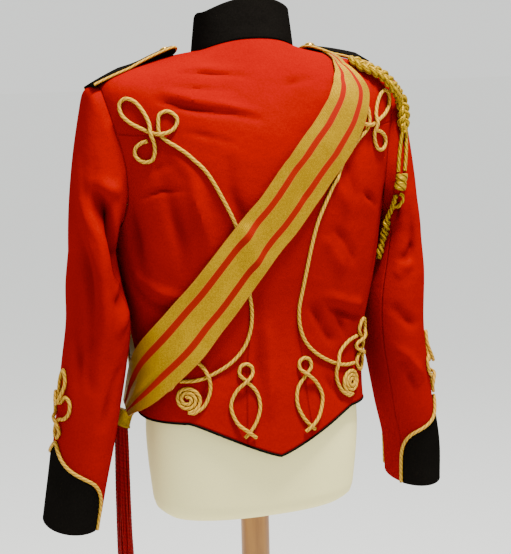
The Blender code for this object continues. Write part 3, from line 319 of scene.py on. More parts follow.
BODY_CREASES = {
    "left": [
        Crease(2.8, 3.4, ((43.5, 51), (61.6, 48.5), (78.6, 49.5), (86.4, 53.4))),
        Crease(-2.1, 5.1, ((45, 43), (62, 40.5), (82, 42))),
        Crease(2.0, 4.2, ((50, 71), (64, 68), (78, 70))),
        Crease(-4.2, 6, ((47, 79), (60, 83.5), (74, 87), (86, 95))),
        Crease(4.8, 4.2, ((43.9, 89.5), (56.2, 93.5), (68.5, 96.4), (79.5, 99.9), (87, 107))),
        Crease(2.0, 4.2, ((58.1, 122.1), (68.7, 127.5), (77.3, 136.6))),
        Crease(2.4, 5.1, ((40.2, 171.6), (46, 163), (52.2, 157.7))),
        Crease(3.8, 3.1, ((30.7, 203.1), (38.2, 197.2), (44.5, 193.6), (54.8, 193.1))),
        Crease(-7.2, 9.3, ((52.8, 147.5), (59.4, 177.5), (60.8, 215.8), (63.7, 256.1), (66, 290))),
        Crease(5.1, 9.3, ((46, 172), (49, 214), (52, 262), (53, 304))),
        Crease(4.0, 8.5, ((75, 150), (75.3, 197.9), (77.9, 225), (80, 262))),
        Crease(4.0, 7.6, ((83.8, 320), (84.2, 372), (84.2, 420), (84.1, 486))),
        Crease(-3.7, 7.6, ((87.6, 376), (88.2, 440), (87.4, 506))),
        Crease(5.4, 10.2, ((23.7, 198), (23.8, 257), (26.5, 324))),
        Crease(5.1, 7.6, ((12, 316), (26, 342), (44, 356), (60, 362))),
        Crease(-5.1, 7.6, ((18, 300), (34, 324), (52, 336))),
        Crease(4.0, 6.8, ((68, 420), (58, 450), (52, 486))),
        Crease(5.1, 8.5, ((-30, 250), (-26, 300), (-32, 356))),
        Crease(-5.1, 7.6, ((-52, 190), (-46, 260), (-50, 330))),
        Crease(3.8, 6, ((-74, 118), (-60, 132), (-44, 138))),
        Crease(4.4, 6.8, ((-82, 372), (-64, 364), (-44, 374))),
    ],
    "right": [
        Crease(2.8, 5.1, ((86, 64), (79, 59), (71, 57))),
        Crease(4.0, 6, ((66.5, 151.5), (59.5, 185.8), (54.4, 219.4))),
        Crease(-4.6, 6.8, ((74, 160), (67, 196), (60, 236))),
        Crease(4.4, 4.2, ((51.4, 208.6), (44, 219), (36.3, 233))),
        Crease(3.8, 6, ((67.6, 253.5), (60.5, 271.8), (50.7, 304.9))),
        Crease(-3.7, 7.6, ((72, 264), (66, 290), (58, 318))),
        Crease(5.4, 6, ((75.4, 355.6), (66.3, 395.5), (59, 414))),
        Crease(-5.4, 6.8, ((68, 345), (54, 359), (36, 369))),
        Crease(6.1, 5.1, ((65.6, 361.4), (52.4, 376.5), (33, 388.2))),
        Crease(4.0, 4.2, ((60.2, 371.3), (54, 392), (47.5, 412.7))),
        Crease(3.8, 5.1, ((65.6, 456), (60, 478), (53.6, 497.2))),
        Crease(5.4, 10.2, ((24, 200), (22, 262), (26, 330))),
        Crease(4.0, 7.6, ((6, 290), (12, 350), (20, 400))),
        Crease(5.1, 8.5, ((-28, 240), (-33, 300), (-28, 366))),
        Crease(-4.6, 7.6, ((-56, 200), (-48, 270), (-54, 340))),
        Crease(3.4, 6, ((-78, 126), (-64, 140), (-50, 144))),
        Crease(4.8, 6.8, ((-80, 384), (-62, 372), (-46, 380))),
    ],
}
SLEEVE_CREASES = {
    "left": [
        Crease(
            -6.7, 9,
            ((4.2, 105), (34.2, 144), (58.1, 188.6), (78, 227), (82, 262), (78, 306), (72, 352), (76, 404)),
        ),
        Crease(5.0, 10, ((6, 150), (32, 190), (52, 236), (56, 282), (50, 332))),
        Crease(-6.0, 9, ((34, 120), (50.6, 112), (62.3, 106), (76, 94), (92, 68), (100, 34))),
        Crease(21.0, 12, ((46, 128), (66, 129), (88, 132), (110, 152), (126, 190), (137, 240))),
        Crease(-4.5, 7, ((26, 136), (41, 146), (57, 158), (74, 179), (84, 209), (88, 236))),
        Crease(5.3, 8, ((150, 246), (122, 262), (94, 268))),
        Crease(-4.2, 9, ((146, 276), (118, 288), (96, 304))),
        Crease(4.0, 8, ((58, 300), (60, 346), (70, 380))),
        Crease(4.3, 8, ((120, 344), (104, 380), (98, 430))),
        Crease(4.3, 9, ((20, 292), (34, 330), (44, 372))),
        Crease(4.7, 10, ((-60, 110), (-44, 170), (-50, 240))),
        Crease(-4.2, 10, ((-90, 200), (-74, 260), (-80, 330))),
        Crease(5.3, 9, ((-110, 250), (-84, 280), (-52, 292))),
    ],
    "right": [
        Crease(-7.0, 8, ((112, 70), (96, 92), (112, 128), (124, 160))),
        Crease(6.5, 9, ((132, 90), (118, 120), (128, 150))),
        Crease(-5.1, 9, ((76.6, 119), (70, 168), (68.9, 219.5), (60, 291), (63.8, 350))),
        Crease(5.0, 9, ((96, 142), (92, 200), (84, 262))),
        Crease(5.6, 6, ((118, 243), (102.2, 229), (84.4, 215.8))),
        Crease(-4.2, 8, ((122, 262), (104, 250), (88, 238))),
        Crease(4.7, 8, ((126, 300), (100, 316), (74, 330))),
        Crease(-5.4, 8, ((117.7, 359.5), (98, 372), (84, 390), (78.2, 412))),
        Crease(4.7, 8, ((122, 376), (102, 392), (92, 420))),
        Crease(4.0, 8, ((40, 150), (48, 210), (44, 270))),
        Crease(4.7, 10, ((-56, 100), (-44, 180), (-52, 250))),
        Crease(-4.2, 10, ((-96, 190), (-78, 250), (-84, 320))),
        Crease(5.3, 9, ((-120, 246), (-90, 270), (-58, 284))),
    ],
}


def table(rows: Sequence[Sequence[float]]) -> Array:
    """A table's rows as numbers.

    Args:
        rows: the table.
    Returns:
        One row of numbers for each of its rows.
    """
    return np.array([tuple(row) for row in rows], float)


class Track:
    """A smooth curve through the rows of a table, read at many places at once."""

    def __init__(self, rows: Sequence[Sequence[float]], cyclic: bool = False) -> None:
        """Keeps the rows with one more at each end.

        Args:
            rows: the table.
            cyclic: whether the last row is followed by the first.
        """
        self.rows = table(rows)
        self.count = len(self.rows) + (1 if cyclic else 0)
        if cyclic:
            self.padded = np.concatenate([self.rows[-1:], self.rows, self.rows[:2]])
        else:
            first, last = 2 * self.rows[0] - self.rows[1], 2 * self.rows[-1] - self.rows[-2]
            self.padded = np.concatenate([first[None], self.rows, last[None]])

    def at(self, position: Array) -> Array:
        """The rows' numbers at fractional places.

        Args:
            position: the places, where 0 is the first row.
        Returns:
            One row of numbers for each place.
        """
        position = np.clip(np.asarray(position, float), 0, self.count - 1 - 1e-9)
        i = position.astype(int)
        f = (position - i)[..., None]
        a, b, c, d = (self.padded[i + k] for k in range(4))
        return 0.5 * (2 * b + (c - a) * f + (2 * a - 5 * b + 4 * c - d) * f**2 + (3 * b - a - 3 * c + d) * f**3)

    def by(self, column: int, value: Array) -> Array:
        """The rows' numbers where one column, which runs upwards, has these values."""
        return self.at(np.interp(value, self.rows[:, column], np.arange(len(self.rows))))

    def smooth(self, per_span: int) -> Array:
        """Rows along the whole curve, so many to each span between the table's rows."""
        return self.at(np.linspace(0, self.count - 1, (self.count - 1) * per_span + 1))


def radians(angle: Array) -> Array:
    """Degrees as radians.

    Args:
        angle: in degrees.
    Returns:
        The same in radians.
    """
    return np.asarray(angle, float) * math.pi / 180


def unit(vectors: Array) -> Array:
    """Vectors of length one.

    Args:
        vectors: one or many.
    Returns:
        The same directions.
    """
    return vectors / np.maximum(np.linalg.norm(vectors, axis=-1, keepdims=True), 1e-12)


def ring_points(side: int, angle: Array, width: Array, reach: tuple[Array, Array], rise: tuple[Array, ...]) -> Array:
    """Points of rings whose back, side and front stand at different heights.

    Args:
        side: 1 on the wearer's left and -1 on the right.
        angle: where on the ring.
        width: half the ring's width.
        reach: how far it reaches behind, and in front.
        rise: its height at the back, side and front.
    Returns:
        The points, in metres.
    """
    s, c = np.sin(radians(angle)), np.cos(radians(angle))
    x, y = (np.sign(value) * np.abs(value) ** ROUNDNESS for value in (c, s))
    z = rise[1] + (np.where(s > 0, rise[0], rise[2]) - rise[1]) * s * s
    return np.stack([side * width * x, np.where(s > 0, reach[0], -reach[1]) * y, z], -1) * MM + (0, 0, NAPE_HEIGHT)


@dataclass
class Face:
    """A smooth face over which cloth is laid, with two coordinates, u round it and v along it."""

    side: int = 1
    outward: float = 1.0
    creases: list[Crease] = field(default_factory=list)

    def at(self, u: Array, v: Array) -> Array:
        """Points of the face."""
        raise NotImplementedError

    def normal(self, u: Array, v: Array) -> Array:
        """The ways out of the face.

        Args:
            u: round it.
            v: along it.
        Returns:
            Vectors of length one.
        """
        across = self.at(u + SLOPE_ROUND, v) - self.at(u - SLOPE_ROUND, v)
        along = self.at(u, v + SLOPE_DOWN) - self.at(u, v - SLOPE_DOWN)
        return unit(np.cross(along, across)) * self.outward

    def scale(self, u: Array, v: Array, reach: tuple[float, float] = (0.5, 0.5)) -> Array:
        """Millimetres for each unit of u and of v.

        Args:
            u: round it.
            v: along it.
            reach: how many units of u and of v are measured on either side.
        Returns:
            Two numbers for each place.
        """
        wide, high = reach
        across = np.linalg.norm(self.at(u + wide, v) - self.at(u - wide, v), axis=-1) / (2 * wide)
        along = np.linalg.norm(self.at(u, v + high) - self.at(u, v - high), axis=-1) / (2 * high)
        return np.maximum(np.stack([across, along], -1) / MM, 0.05)

    def relief(self, u: Array, v: Array) -> Array:
        """How far the creases move the cloth in or out.

        Args:
            u: round the face.
            v: along it.
        Returns:
            Millimetres, out of the face.
        """
        moved = np.zeros(np.shape(u))
        for crease in self.creases:
            line = Track(crease.line).smooth(8)
            scale = self.scale(*np.array(line[len(line) // 2 : len(line) // 2 + 1]).T)[0]
            points = np.stack([u, v], -1) * scale
            marks = line * scale
            lengths = np.concatenate([[0], np.cumsum(np.linalg.norm(np.diff(marks, axis=0), axis=1))])
            best, where = np.full(np.shape(u), 1e9), np.zeros(np.shape(u))
            for a, b, start in zip(marks, marks[1:], lengths):
                span = b - a
                t = np.clip((points - a) @ span / max(float(span @ span), 1e-9), 0, 1)
                away = np.linalg.norm(points - a - t[..., None] * span, axis=-1)
                near = away < best
                best = np.where(near, away, best)
                where = np.where(near, start + t * np.linalg.norm(span), where)
            share = where / lengths[-1]
            fade = np.sin(np.clip(share, 0, 1) * math.pi) ** 0.7
            depth = crease.depth * (1 + CREASE_WAVE * np.sin(share * 9 + crease.width))
            height = CREASE_END + (1 - CREASE_END) * fade
            moved -= depth * height * np.exp(-((best / crease.width) ** 2))
        return moved

    def place(self, u: Array, v: Array, out: Array | float = 0.0) -> Array:
        """Points off the face, over its creases.

        Args:
            u: round the face.
            v: along it.
            out: how far off, in millimetres.
        Returns:
            The points, in metres.
        """
        u, v = np.asarray(u, float), np.asarray(v, float)
        lifted = (np.asarray(out) + self.relief(u, v)) * MM
        return self.at(u, v) + self.normal(u, v) * lifted[..., None]


class Body(Face):
    """The jacket's body, where u is the angle and v the drop."""

    track = Track(TORSO)

    def at(self, u: Array, v: Array) -> Array:
        """Points of the body.

        Args:
            u: the angle.
            v: the drop.
        Returns:
            The points, in metres.
        """
        r = Ring(*np.moveaxis(self.track.by(0, v), -1, 0))
        rise = -r.back_drop, -r.side_drop, -r.front_drop
        return ring_points(self.side, u, r.half_width, (r.back_y, r.front_y), rise)


class Neck(Face):
    """The collar, or the form's neck, where u is the angle and v the height, counted downwards."""

    rings: list[Stand] = COLLAR

    def at(self, u: Array, v: Array) -> Array:
        """Points of the collar or the neck at these angles and heights, in metres."""
        r = Stand(*np.moveaxis(Track(self.rings).by(0, -np.asarray(v)), -1, 0))
        return ring_points(1, u, r.half_width, (r.back_y, r.front_y), (r.back_rise, r.side_rise, r.front_rise))


class FormNeck(Neck):
    """The short neck of the form."""

    rings = FORM_NECK


def armhole(turn: Array) -> tuple[Array, Array]:
    """The armhole's edge on the body.

    Args:
        turn: round the sleeve.
    Returns:
        Its angle and drop on the body.
    """
    s, c = np.sin(radians(turn)), np.cos(radians(turn))
    middle, half = (ARMHOLE_TOP + ARMHOLE_BOTTOM) / 2, (ARMHOLE_BOTTOM - ARMHOLE_TOP) / 2
    return np.where(s > 0, ARMHOLE_BACK, ARMHOLE_FRONT) * s, middle - half * c


class Sleeve(Face):
    """The sleeve, where u is the turn round it and v the length along it from the armhole."""

    track = Track(SLEEVE)

    def tube(self, turn: Array, down: Array) -> Array:
        """Points of the tube below the armhole.

        Args:
            turn: round the sleeve.
            down: the drop.
        Returns:
            The points, in metres.
        """
        r, ahead, behind = (Section(*np.moveaxis(self.track.by(0, down + step), -1, 0)) for step in (0, 4, -4))
        slant = np.arctan2(ahead.y - behind.y, ahead.down - behind.down)
        s, c = np.sin(radians(turn)), np.cos(radians(turn))
        x = (r.left_x if self.side > 0 else r.right_x) + r.across * c
        y = r.y + r.deep * s * np.cos(slant)
        z = -down + r.deep * s * np.sin(slant)
        return np.stack([self.side * x, y, z], -1) * MM + (0, 0, NAPE_HEIGHT)

    def at(self, u: Array, v: Array) -> Array:
        """Points of the sleeve.

        Args:
            u: the turn.
            v: the length from the armhole.
        Returns:
            The points, in metres.
        """
        u, v = np.broadcast_arrays(np.asarray(u, float), np.asarray(v, float))
        top = SLEEVE[0].down
        start = Body(self.side).at(*armhole(u)) - (self.side * SEAM_TUCK * MM, 0, 0)
        finish = self.tube(u, np.full(u.shape, top))
        reach = np.linalg.norm(finish - start, axis=-1)[..., None]
        out = np.array(CAP_WAY) * (self.side, 1, 1) * CAP_START * reach
        fall = np.array([0, 0, -1]) * CAP_FINISH * reach
        t = np.clip(v / CAP, 0, 1)[..., None]
        roll = CAP_PUFF * np.maximum(0, np.cos(radians(u)))[..., None] * t / CAP_PUFF_AT * np.exp(1 - t / CAP_PUFF_AT)
        head = (
            roll * (1 - t) ** 2 * (self.side * MM, 0, 0)
            + start * (2 * t**3 - 3 * t**2 + 1)
            + out * (t**3 - 2 * t**2 + t)
            + finish * (3 * t**2 - 2 * t**3)
            + fall * (t**3 - t**2)
        )
        return np.where((v >= CAP)[..., None], self.tube(u, np.maximum(v, CAP) - CAP + top), head)


@dataclass
class Board(Face):
    """A shoulder strap, where u runs across it and v along it from its outer end."""

    ends: StrapEnds = STRAPS["left"]

    @property
    def length(self) -> float:
        """The strap's length."""
        return float(np.linalg.norm(np.subtract(self.ends.inner, self.ends.outer)))

    def at(self, u: Array, v: Array) -> Array:
        """Points of the strap.

        Args:
            u: how far across it.
            v: how far along it.
        Returns:
            The points, in metres.
        """
        outer, inner = (np.array(p, float) * (self.side, 1, 1) for p in (self.ends.outer, self.ends.inner))
        u, v = np.broadcast_arrays(np.asarray(u, float), np.asarray(v, float))
        t = v / self.length
        lean = radians(np.interp(t, *zip(*self.ends.leans)))
        sideways = np.stack([np.zeros(t.shape), np.cos(lean), np.sin(lean)], -1)
        bow = np.stack([np.zeros(t.shape), np.zeros(t.shape), self.ends.bow * 4 * t * (1 - t)], -1)
        return (outer + (inner - outer) * t[..., None] + bow + sideways * u[..., None]) * MM + (0, 0, NAPE_HEIGHT)


class EvenBody(Body):
    """The jacket's body, where u is the way round it in millimetres."""

    angles = np.arange(-30.0, 400.0, 0.5)
    lengths = np.linalg.norm(np.diff(Body(1).at(angles, np.full(angles.shape, 260.0)), axis=0), axis=1) / MM
    ways = np.concatenate([[0], np.cumsum(lengths)])

    def at(self, u: Array, v: Array) -> Array:
        """Points of the body at these ways round it and drops, in metres."""
        return super().at(np.interp(u, self.ways, self.angles), v)

    def way(self, angle: float) -> float:
        """The way round to an angle, in millimetres."""
        return float(np.interp(angle, self.angles, self.ways))


@dataclass
class SashFace(Face):
    """The sash, where u runs across it and v along it from the top of the shoulder.

    Its run in front goes under the one behind where they meet at the hip.
    """

    front: bool = False
    meet: float = 400.0
    under: float = 4.5
    reach: tuple[float, float] = (24.0, 28.0)
    per_span: int = 8

    def __post_init__(self) -> None:
        """Works out the middle line's length."""
        self.body = EvenBody(1)
        rows = []
        for band in SASH:
            under = self.under if self.front and band.down > self.meet else 0.0
            way = self.body.way(360 - band.angle if self.front else band.angle)
            rows.append((way, band.down, band.off - under, band.spread))
        self.track = Track(rows)
        fine = self.track.smooth(self.per_span)
        line = self.body.place(fine[:, 0], fine[:, 1], fine[:, 2])
        self.lengths = np.concatenate([[0], np.cumsum(np.linalg.norm(np.diff(line, axis=0), axis=1))]) / MM

    @property
    def length(self) -> float:
        """The length of this run of the sash."""
        return float(self.lengths[-1])

    def at(self, u: Array, v: Array) -> Array:
        """Points of the sash.

        Args:
            u: how far across it.
            v: how far along it.
        Returns:
            The points, in metres.
        """
        u, v = np.broadcast_arrays(np.asarray(u, float), np.asarray(v, float))
        where = np.interp(v, self.lengths, np.arange(len(self.lengths))) / self.per_span
        here, ahead, behind = (self.track.at(where + step) for step in (0, 0.1, -0.1))
        scale = self.body.scale(here[..., 0], here[..., 1], self.reach)
        run = unit((ahead[..., :2] - behind[..., :2]) * scale)
        sideways = np.stack([-run[..., 1], run[..., 0]], -1) * (u * here[..., 3])[..., None] / scale
        return self.body.place(here[..., 0] + sideways[..., 0], here[..., 1] + sideways[..., 1], here[..., 2])


class Value:
    """A shader socket that is added to, multiplied and compared like a number."""

    def __init__(self, graph: Graph, socket: bpy.types.NodeSocket) -> None:
        """Keeps the material's nodes and the output that holds the number."""
        self.graph, self.socket = graph, socket

    def maths(self, operation: str, *others: Value | float) -> Value:
        """One maths node, by its own name, of this number and the others."""
        inputs = {i: other for i, other in enumerate((self, *others))}
        return Value(self.graph, self.graph.node("ShaderNodeMath", {"operation": operation}, inputs).outputs[0])

    def __add__(self, other: Value | float) -> Value:
        """The sum."""
        return self.maths("ADD", other)

    def __radd__(self, other: float) -> Value:
        """The sum, with the number first."""
        return self.maths("ADD", other)

    def __sub__(self, other: Value | float) -> Value:
        """The difference."""
        return self.maths("SUBTRACT", other)

    def __rsub__(self, other: float) -> Value:
        """The difference, with the number first."""
        return self.maths("MULTIPLY", -1.0).maths("ADD", other)

    def __mul__(self, other: Value | float) -> Value:
        """The product."""
        return self.maths("MULTIPLY", other)

    def __rmul__(self, other: float) -> Value:
        """The product, with the number first."""
        return self.maths("MULTIPLY", other)

    def sine(self) -> Value:
        """The sine of this number."""
        return self.maths("SINE")

    def ramp(self, low: float, high: float) -> Value:
        """0 below one value and 1 above another, with a smooth change between.

        Args:
            low: where it starts.
            high: where it ends.
        Returns:
            The share.
        """
        inputs = {"Value": self, "From Min": low, "From Max": high}
        made = self.graph.node("ShaderNodeMapRange", {"interpolation_type": "SMOOTHSTEP"}, inputs)
        return Value(self.graph, made.outputs["Result"])

    def band(self, low: float, high: float, soft: float) -> Value:
        """1 between two values and 0 outside them, with soft changes as wide as this."""
        return self.ramp(low - soft / 2, low + soft / 2) * (1.0 - self.ramp(high - soft / 2, high + soft / 2))


class Graph:
    """The nodes of one material."""

    def __init__(self, name: str) -> None:
        """Starts a material.

        Args:
            name: the material's name.
        """
        self.material = bpy.data.materials.new(name)
        self.material.use_nodes = True
        self.tree = self.material.node_tree
        self.shader = self.tree.nodes["Principled BSDF"]

    def node(
        self, kind: str, settings: dict[str, object] | None = None, inputs: dict[str | int, object] | None = None
    ) -> bpy.types.Node:
        """One node.

        Args:
            kind: its type.
            settings: its own options.
            inputs: a number, a colour, a Value or a socket for each input.
        Returns:
            The node.
        """
        made = self.tree.nodes.new(kind)
        for key, value in (settings or {}).items():
            setattr(made, key, value)
        for key, value in (inputs or {}).items():
            self.feed(made.inputs[key], value)
        return made

    def feed(self, socket: bpy.types.NodeSocket, value: object) -> None:
        """Gives an input its value or its link.

        Args:
            socket: the input.
            value: a number, a colour, a Value or a socket.
        """
        if isinstance(value, Value):
            value = value.socket
        if isinstance(value, bpy.types.NodeSocket):
            self.tree.links.new(value, socket)
        elif isinstance(value, tuple) and len(value) == 3 and socket.type == "RGBA":
            socket.default_value = (*value, 1)
        else:
            socket.default_value = value

    def uv(self) -> tuple[Value, Value]:
        """The two coordinates of the piece's own pattern.

        Returns:
            The one across and the one along.
        """
        coordinates = self.node("ShaderNodeTexCoord")
        parts = self.node("ShaderNodeSeparateXYZ", None, {0: coordinates.outputs["UV"]})
        return Value(self, parts.outputs[0]), Value(self, parts.outputs[1])

    def noise(self, scale: float, detail: float = 2.0, stretch: tuple[float, float, float] = (1, 1, 1)) -> Value:
        """Noise that is fixed to the object.

        Args:
            scale: how many lumps to a metre.
            detail: how much finer noise goes with it.
            stretch: how much closer the lumps are along each axis.
        Returns:
            The noise, from 0 to 1.
        """
        coordinates = self.node("ShaderNodeTexCoord")
        scaled = self.node("ShaderNodeMapping", None, {"Vector": coordinates.outputs["Object"], "Scale": stretch})
        made = self.node("ShaderNodeTexNoise", None, {"Vector": scaled.outputs[0], "Scale": scale, "Detail": detail})
        return Value(self, made.outputs[0])

    def attribute(self, name: str) -> Value:
        """A number that the mesh holds at each corner, by its name."""
        made = self.node("ShaderNodeAttribute", {"attribute_name": name})
        return Value(self, made.outputs["Fac"])

    def mix(self, share: Value | float, first: object, second: object) -> bpy.types.NodeSocket:
        """Two colours mixed, with this share of the second."""
        inputs = {"Factor": share, 6: first, 7: second}
        return self.node("ShaderNodeMix", {"data_type": "RGBA"}, inputs).outputs[2]

    def bump(self, height: Value, distance: float, strength: float = 1.0) -> None:
        """Lets a height from 0 to 1 turn the light, over a distance in metres."""
        made = self.node("ShaderNodeBump", None, {"Height": height, "Distance": distance, "Strength": strength})
        self.feed(self.shader.inputs["Normal"], made.outputs[0])

    def set(self, **values: object) -> None:
        """Sets the shader's own inputs, named with _ for a space."""
        for key, value in values.items():
            self.feed(self.shader.inputs[key.replace("_", " ")], value)


@dataclass(frozen=True)
class Wool:
    """Closely woven and milled wool cloth, with a short nap."""

    name: str
    colour: Rgb
    shade: Rgb
    cloud: float = 9.0
    drape: float = 34.0
    nap: float = 420.0
    fibre: float = 1500.0
    twill: float = 4800.0
    # Crease depths in millimetres over which the painted shade in the folds comes in, then how dark that shade is.
    shallow: tuple[float, float] = (0.4, 6.0)
    deep: tuple[float, float] = (4.0, 20.0)
    hollow: float = 0.22
    relief: float = 0.004

    def material(self) -> bpy.types.Material:
        """The cloth's material, with painted shade in its folds. The mesh holds how deep they are and how near its edge
        is.

        Returns:
            The material.
        """
        g = Graph(self.name)
        cloud, nap, fibre = g.noise(self.cloud), g.noise(self.nap, 3), g.noise(self.fibre)
        edge = g.attribute("edge")
        u, v = g.uv()
        twill = ((u + v) * self.twill).sine() * 0.5 + 0.5
        worn = (cloud * 0.55 + nap * 0.45).ramp(0.30, 0.72)
        # Painted shade: the colour is darkened where the creases lie deep, in place of the shade that falls in them.
        fold = g.attribute("fold")
        fold_shade_mask = fold.ramp(*self.shallow) * 0.30 + fold.ramp(*self.deep) * 0.55
        fold_shade_colour = tuple(self.hollow * c for c in self.shade)
        g.set(
            Base_Color=g.mix(fold_shade_mask, g.mix(worn, self.shade, self.colour), fold_shade_colour),
            Roughness=0.9,
            Specular_IOR_Level=0.0,
        )
        turned, uneven = edge.ramp(0.0, 2.2), g.noise(self.drape, 2.5)
        g.bump(turned * 0.30 + uneven * 0.55 + nap * 0.05 + fibre * 0.04 + twill * 0.012, self.relief)
        return g.material


@dataclass(frozen=True)
class Twist:
    """Cord whose plies are wound round with fine thread."""

    name: str
    colour: Rgb
    # The colour of the painted shade deep in the grooves between the plies, also given to the random dark specks.
    hollow: Rgb
    metallic: float
    roughness: float
    winding: float
    speckle: float = 650.0
    relief: float = 0.0004

    def material(self) -> bpy.types.Material:
        """The cord's material, with painted shade in the grooves between its plies. Its mesh holds how deep each place
        lies between the plies.

        Returns:
            The material.
        """
        g = Graph(self.name)
        around, along = g.uv()
        groove = g.attribute("groove")
        thread = (along * self.winding + around * TURN).sine() * 0.5 + 0.5
        speck = g.noise(self.speckle)
        # Painted shade: the colour darkens deep in the grooves between the plies.
        groove_shaded_colour = g.mix(groove.ramp(0.25, 1.0), self.colour, self.hollow)
        g.set(
            Base_Color=g.mix(speck.ramp(0.56, 0.70) * 0.4, groove_shaded_colour, self.hollow),
            Roughness=self.roughness,
            Metallic=self.metallic,
            Specular_IOR_Level=0.08,
        )
        g.bump(thread * 0.6 + speck * 0.4, self.relief, 0.7)
        return g.material


@dataclass(frozen=True)
class Lace:
    """Gold lace woven with two crimson stripes, whose places are shares of its width."""

    name: str
    gold: Rgb
    deep: Rgb
    crimson: Rgb
    stripes: tuple[tuple[float, float], ...] = ((0.20, 0.32), (0.66, 0.78))
    edging: Rgb = (0.42, 0.15, 0.02)
    border: float = 0.016
    selvedge: float = 0.018
    soft: float = 0.008
    ribs: float = 34.0
    wefts: float = 760.0
    speckle: float = 520.0
    cloud: float = 22.0
    relief: float = 0.0005

    def material(self) -> bpy.types.Material:
        """The lace's material.

        Returns:
            The material.
        """
        g = Graph(self.name)
        across, along = g.uv()
        rib = (across * TURN * self.ribs).sine() * 0.5 + 0.5
        weft = (along * TURN * self.wefts).sine() * 0.5 + 0.5
        speck, cloud = g.noise(self.speckle), g.noise(self.cloud)
        stripe: Value | float = 0.0
        border: Value | float = 0.0
        for low, high in self.stripes:
            stripe = across.band(low, high, self.soft) + stripe
            border = across.band(low - self.border, high + self.border, self.soft) + border
        selvedge = 1.0 - across.band(self.selvedge, 1 - self.selvedge, 0.01)
        gold = g.mix((speck * 0.6 + cloud * 0.4).ramp(0.35, 0.68), self.deep, self.gold)
        edged = g.mix((border + selvedge).ramp(0.2, 0.9) * 0.55, gold, self.edging)
        g.set(
            Base_Color=g.mix(stripe, edged, self.crimson),
            Metallic=(1.0 - stripe) * 0.5,
            Roughness=stripe * 0.45 + 0.45,
            Specular_IOR_Level=0.06,
        )
        g.bump(rib * 0.35 + weft * 0.35 + speck * 0.3, self.relief, 0.8)
        return g.material


@dataclass(frozen=True)
class Plain:
    """A finish of one colour with a little grain."""

    name: str
    colour: Rgb
    other: Rgb
    roughness: float
    metallic: float = 0.0
    grain: float = 300.0
    stretch: tuple[float, float, float] = (1.0, 1.0, 1.0)
    relief: float = 0.0002
    coat: float = 0.0

    def material(self) -> bpy.types.Material:
        """The finish's material.

        Returns:
            The material.
        """
        g = Graph(self.name)
        grain = g.noise(self.grain, 3, self.stretch)
        g.set(
            Base_Color=g.mix(grain.ramp(0.3, 0.7), self.other, self.colour),
            Roughness=self.roughness,
            Metallic=self.metallic,
            Coat_Weight=self.coat,
        )
        g.bump(grain, self.relief, 0.6)
        return g.material


class Finish(Enum):
    """Every finish of the jacket, the form and the stand."""

    # For cloth the second colour is its darker tone, which also gives the painted shade in its folds; for cord and
    # thread it is the painted shade between the plies, also used for specks.
    SCARLET = Wool("scarlet cloth", (0.28, 0.0008, 0.0003), (0.22, 0.0006, 0.0002))
    BLACK = Wool("black cloth", (0.007, 0.006, 0.005), (0.004, 0.0035, 0.003))
    CORD = Twist("gold cord", (0.58, 0.325, 0.03), (0.16, 0.065, 0.003), 0.1, 0.5, 5200.0)
    AIGUILLETTE = Twist("plaited gold", (0.38, 0.23, 0.0004), (0.05, 0.02, 0.0002), 0.3, 0.45, 4200.0)
    LACE = Lace("gold lace", (0.42, 0.25, 0.0006), (0.29, 0.16, 0.0003), (0.27, 0.006, 0.0002))
    KEEPER = Lace("keeper lace", (0.36, 0.23, 0.0006), (0.25, 0.14, 0.0003), (0.27, 0.006, 0.0002), ())
    TASSEL = Twist("crimson thread", (0.23, 0.0008, 0.002), (0.05, 0.0002, 0.0005), 0.0, 0.5, 3600.0)
    GILT = Plain("gilt", (0.66, 0.42, 0.08), (0.54, 0.32, 0.06), 0.24, 1.0)
    FORM = Plain("form cloth", (0.94, 0.86, 0.40), (0.89, 0.81, 0.37), 0.9, grain=900.0)
    WOOD = Plain("stand wood", (0.34, 0.15, 0.02), (0.24, 0.095, 0.012), 0.42, 0, 26.0, (4.0, 4.0, 0.35), 0.0003, 0.2)

    def make(self) -> bpy.types.Material:
        """The material, made once."""
        return bpy.data.materials.get(self.value.name) or self.value.material()


class Slot(Enum):
    """Names of material slots, one held by each piece."""

    SCARLET = "scarlet_cloth"
    BLACK = "black_cloth"
    CORD = "gold_cord"
    LACE = "gold_lace"
    AIGUILLETTE = "plaited_gold"
    TASSEL = "crimson_thread"
    GILT = "gilt_metal"
    FORM = "form_cloth"
    WOOD = "stand_wood"


@dataclass
class Piece:
    """A finished object, on its body, in place of the CAD nodes that it stands for."""

    name: str
    finish: Finish
    slot: Slot
    nodes: tuple[str, ...]

    def add(self, bm: bmesh.types.BMesh, crisp: float = 40.0) -> bpy.types.Object:
        """Makes the object from its mesh.

        Args:
            bm: the mesh, which is used up.
            crisp: the angle over which an edge looks sharp.
        Returns:
            The object.
        """
        bmesh.ops.recalc_face_normals(bm, faces=bm.faces[:])
        if bm.calc_volume(signed=True) < 0:
            bmesh.ops.reverse_faces(bm, faces=bm.faces[:])
        mesh = bpy.data.meshes.new(self.name)
        bm.to_mesh(mesh)
        bm.free()
        mesh.shade_smooth()
        mesh.set_sharp_from_angle(angle=math.radians(crisp))
        mesh.materials.append(self.finish.make())
        obj = bpy.data.objects.new(self.name, mesh)
        bpy.context.scene.collection.objects.link(obj)
        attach(obj, "root")
        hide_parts(*self.nodes)
        LOG.info("%s: %d faces", self.name, len(mesh.polygons))
        return obj


def steps(first: float, last: float, size: float) -> list[float]:
    """Numbers evenly spaced.

    Args:
        first: the first one.
        last: the last one.
        size: about how far apart.
    Returns:
        The numbers.
    """
    count = max(1, math.ceil(abs(last - first) / size))
    return [first + (last - first) * i / count for i in range(count + 1)]


def joined(*runs: Points) -> Array:
    """Runs of points made one outline, without the points that repeat.

    Args:
        runs: the runs, in order.
    Returns:
        The outline.
    """
    outline: Curve = []
    for point in (p for run in runs for p in run):
        if not outline or math.dist(point, outline[-1]) > 1e-4:
            outline.append((float(point[0]), float(point[1])))
    if math.dist(outline[0], outline[-1]) < 1e-4:
        outline.pop()
    return np.array(outline)


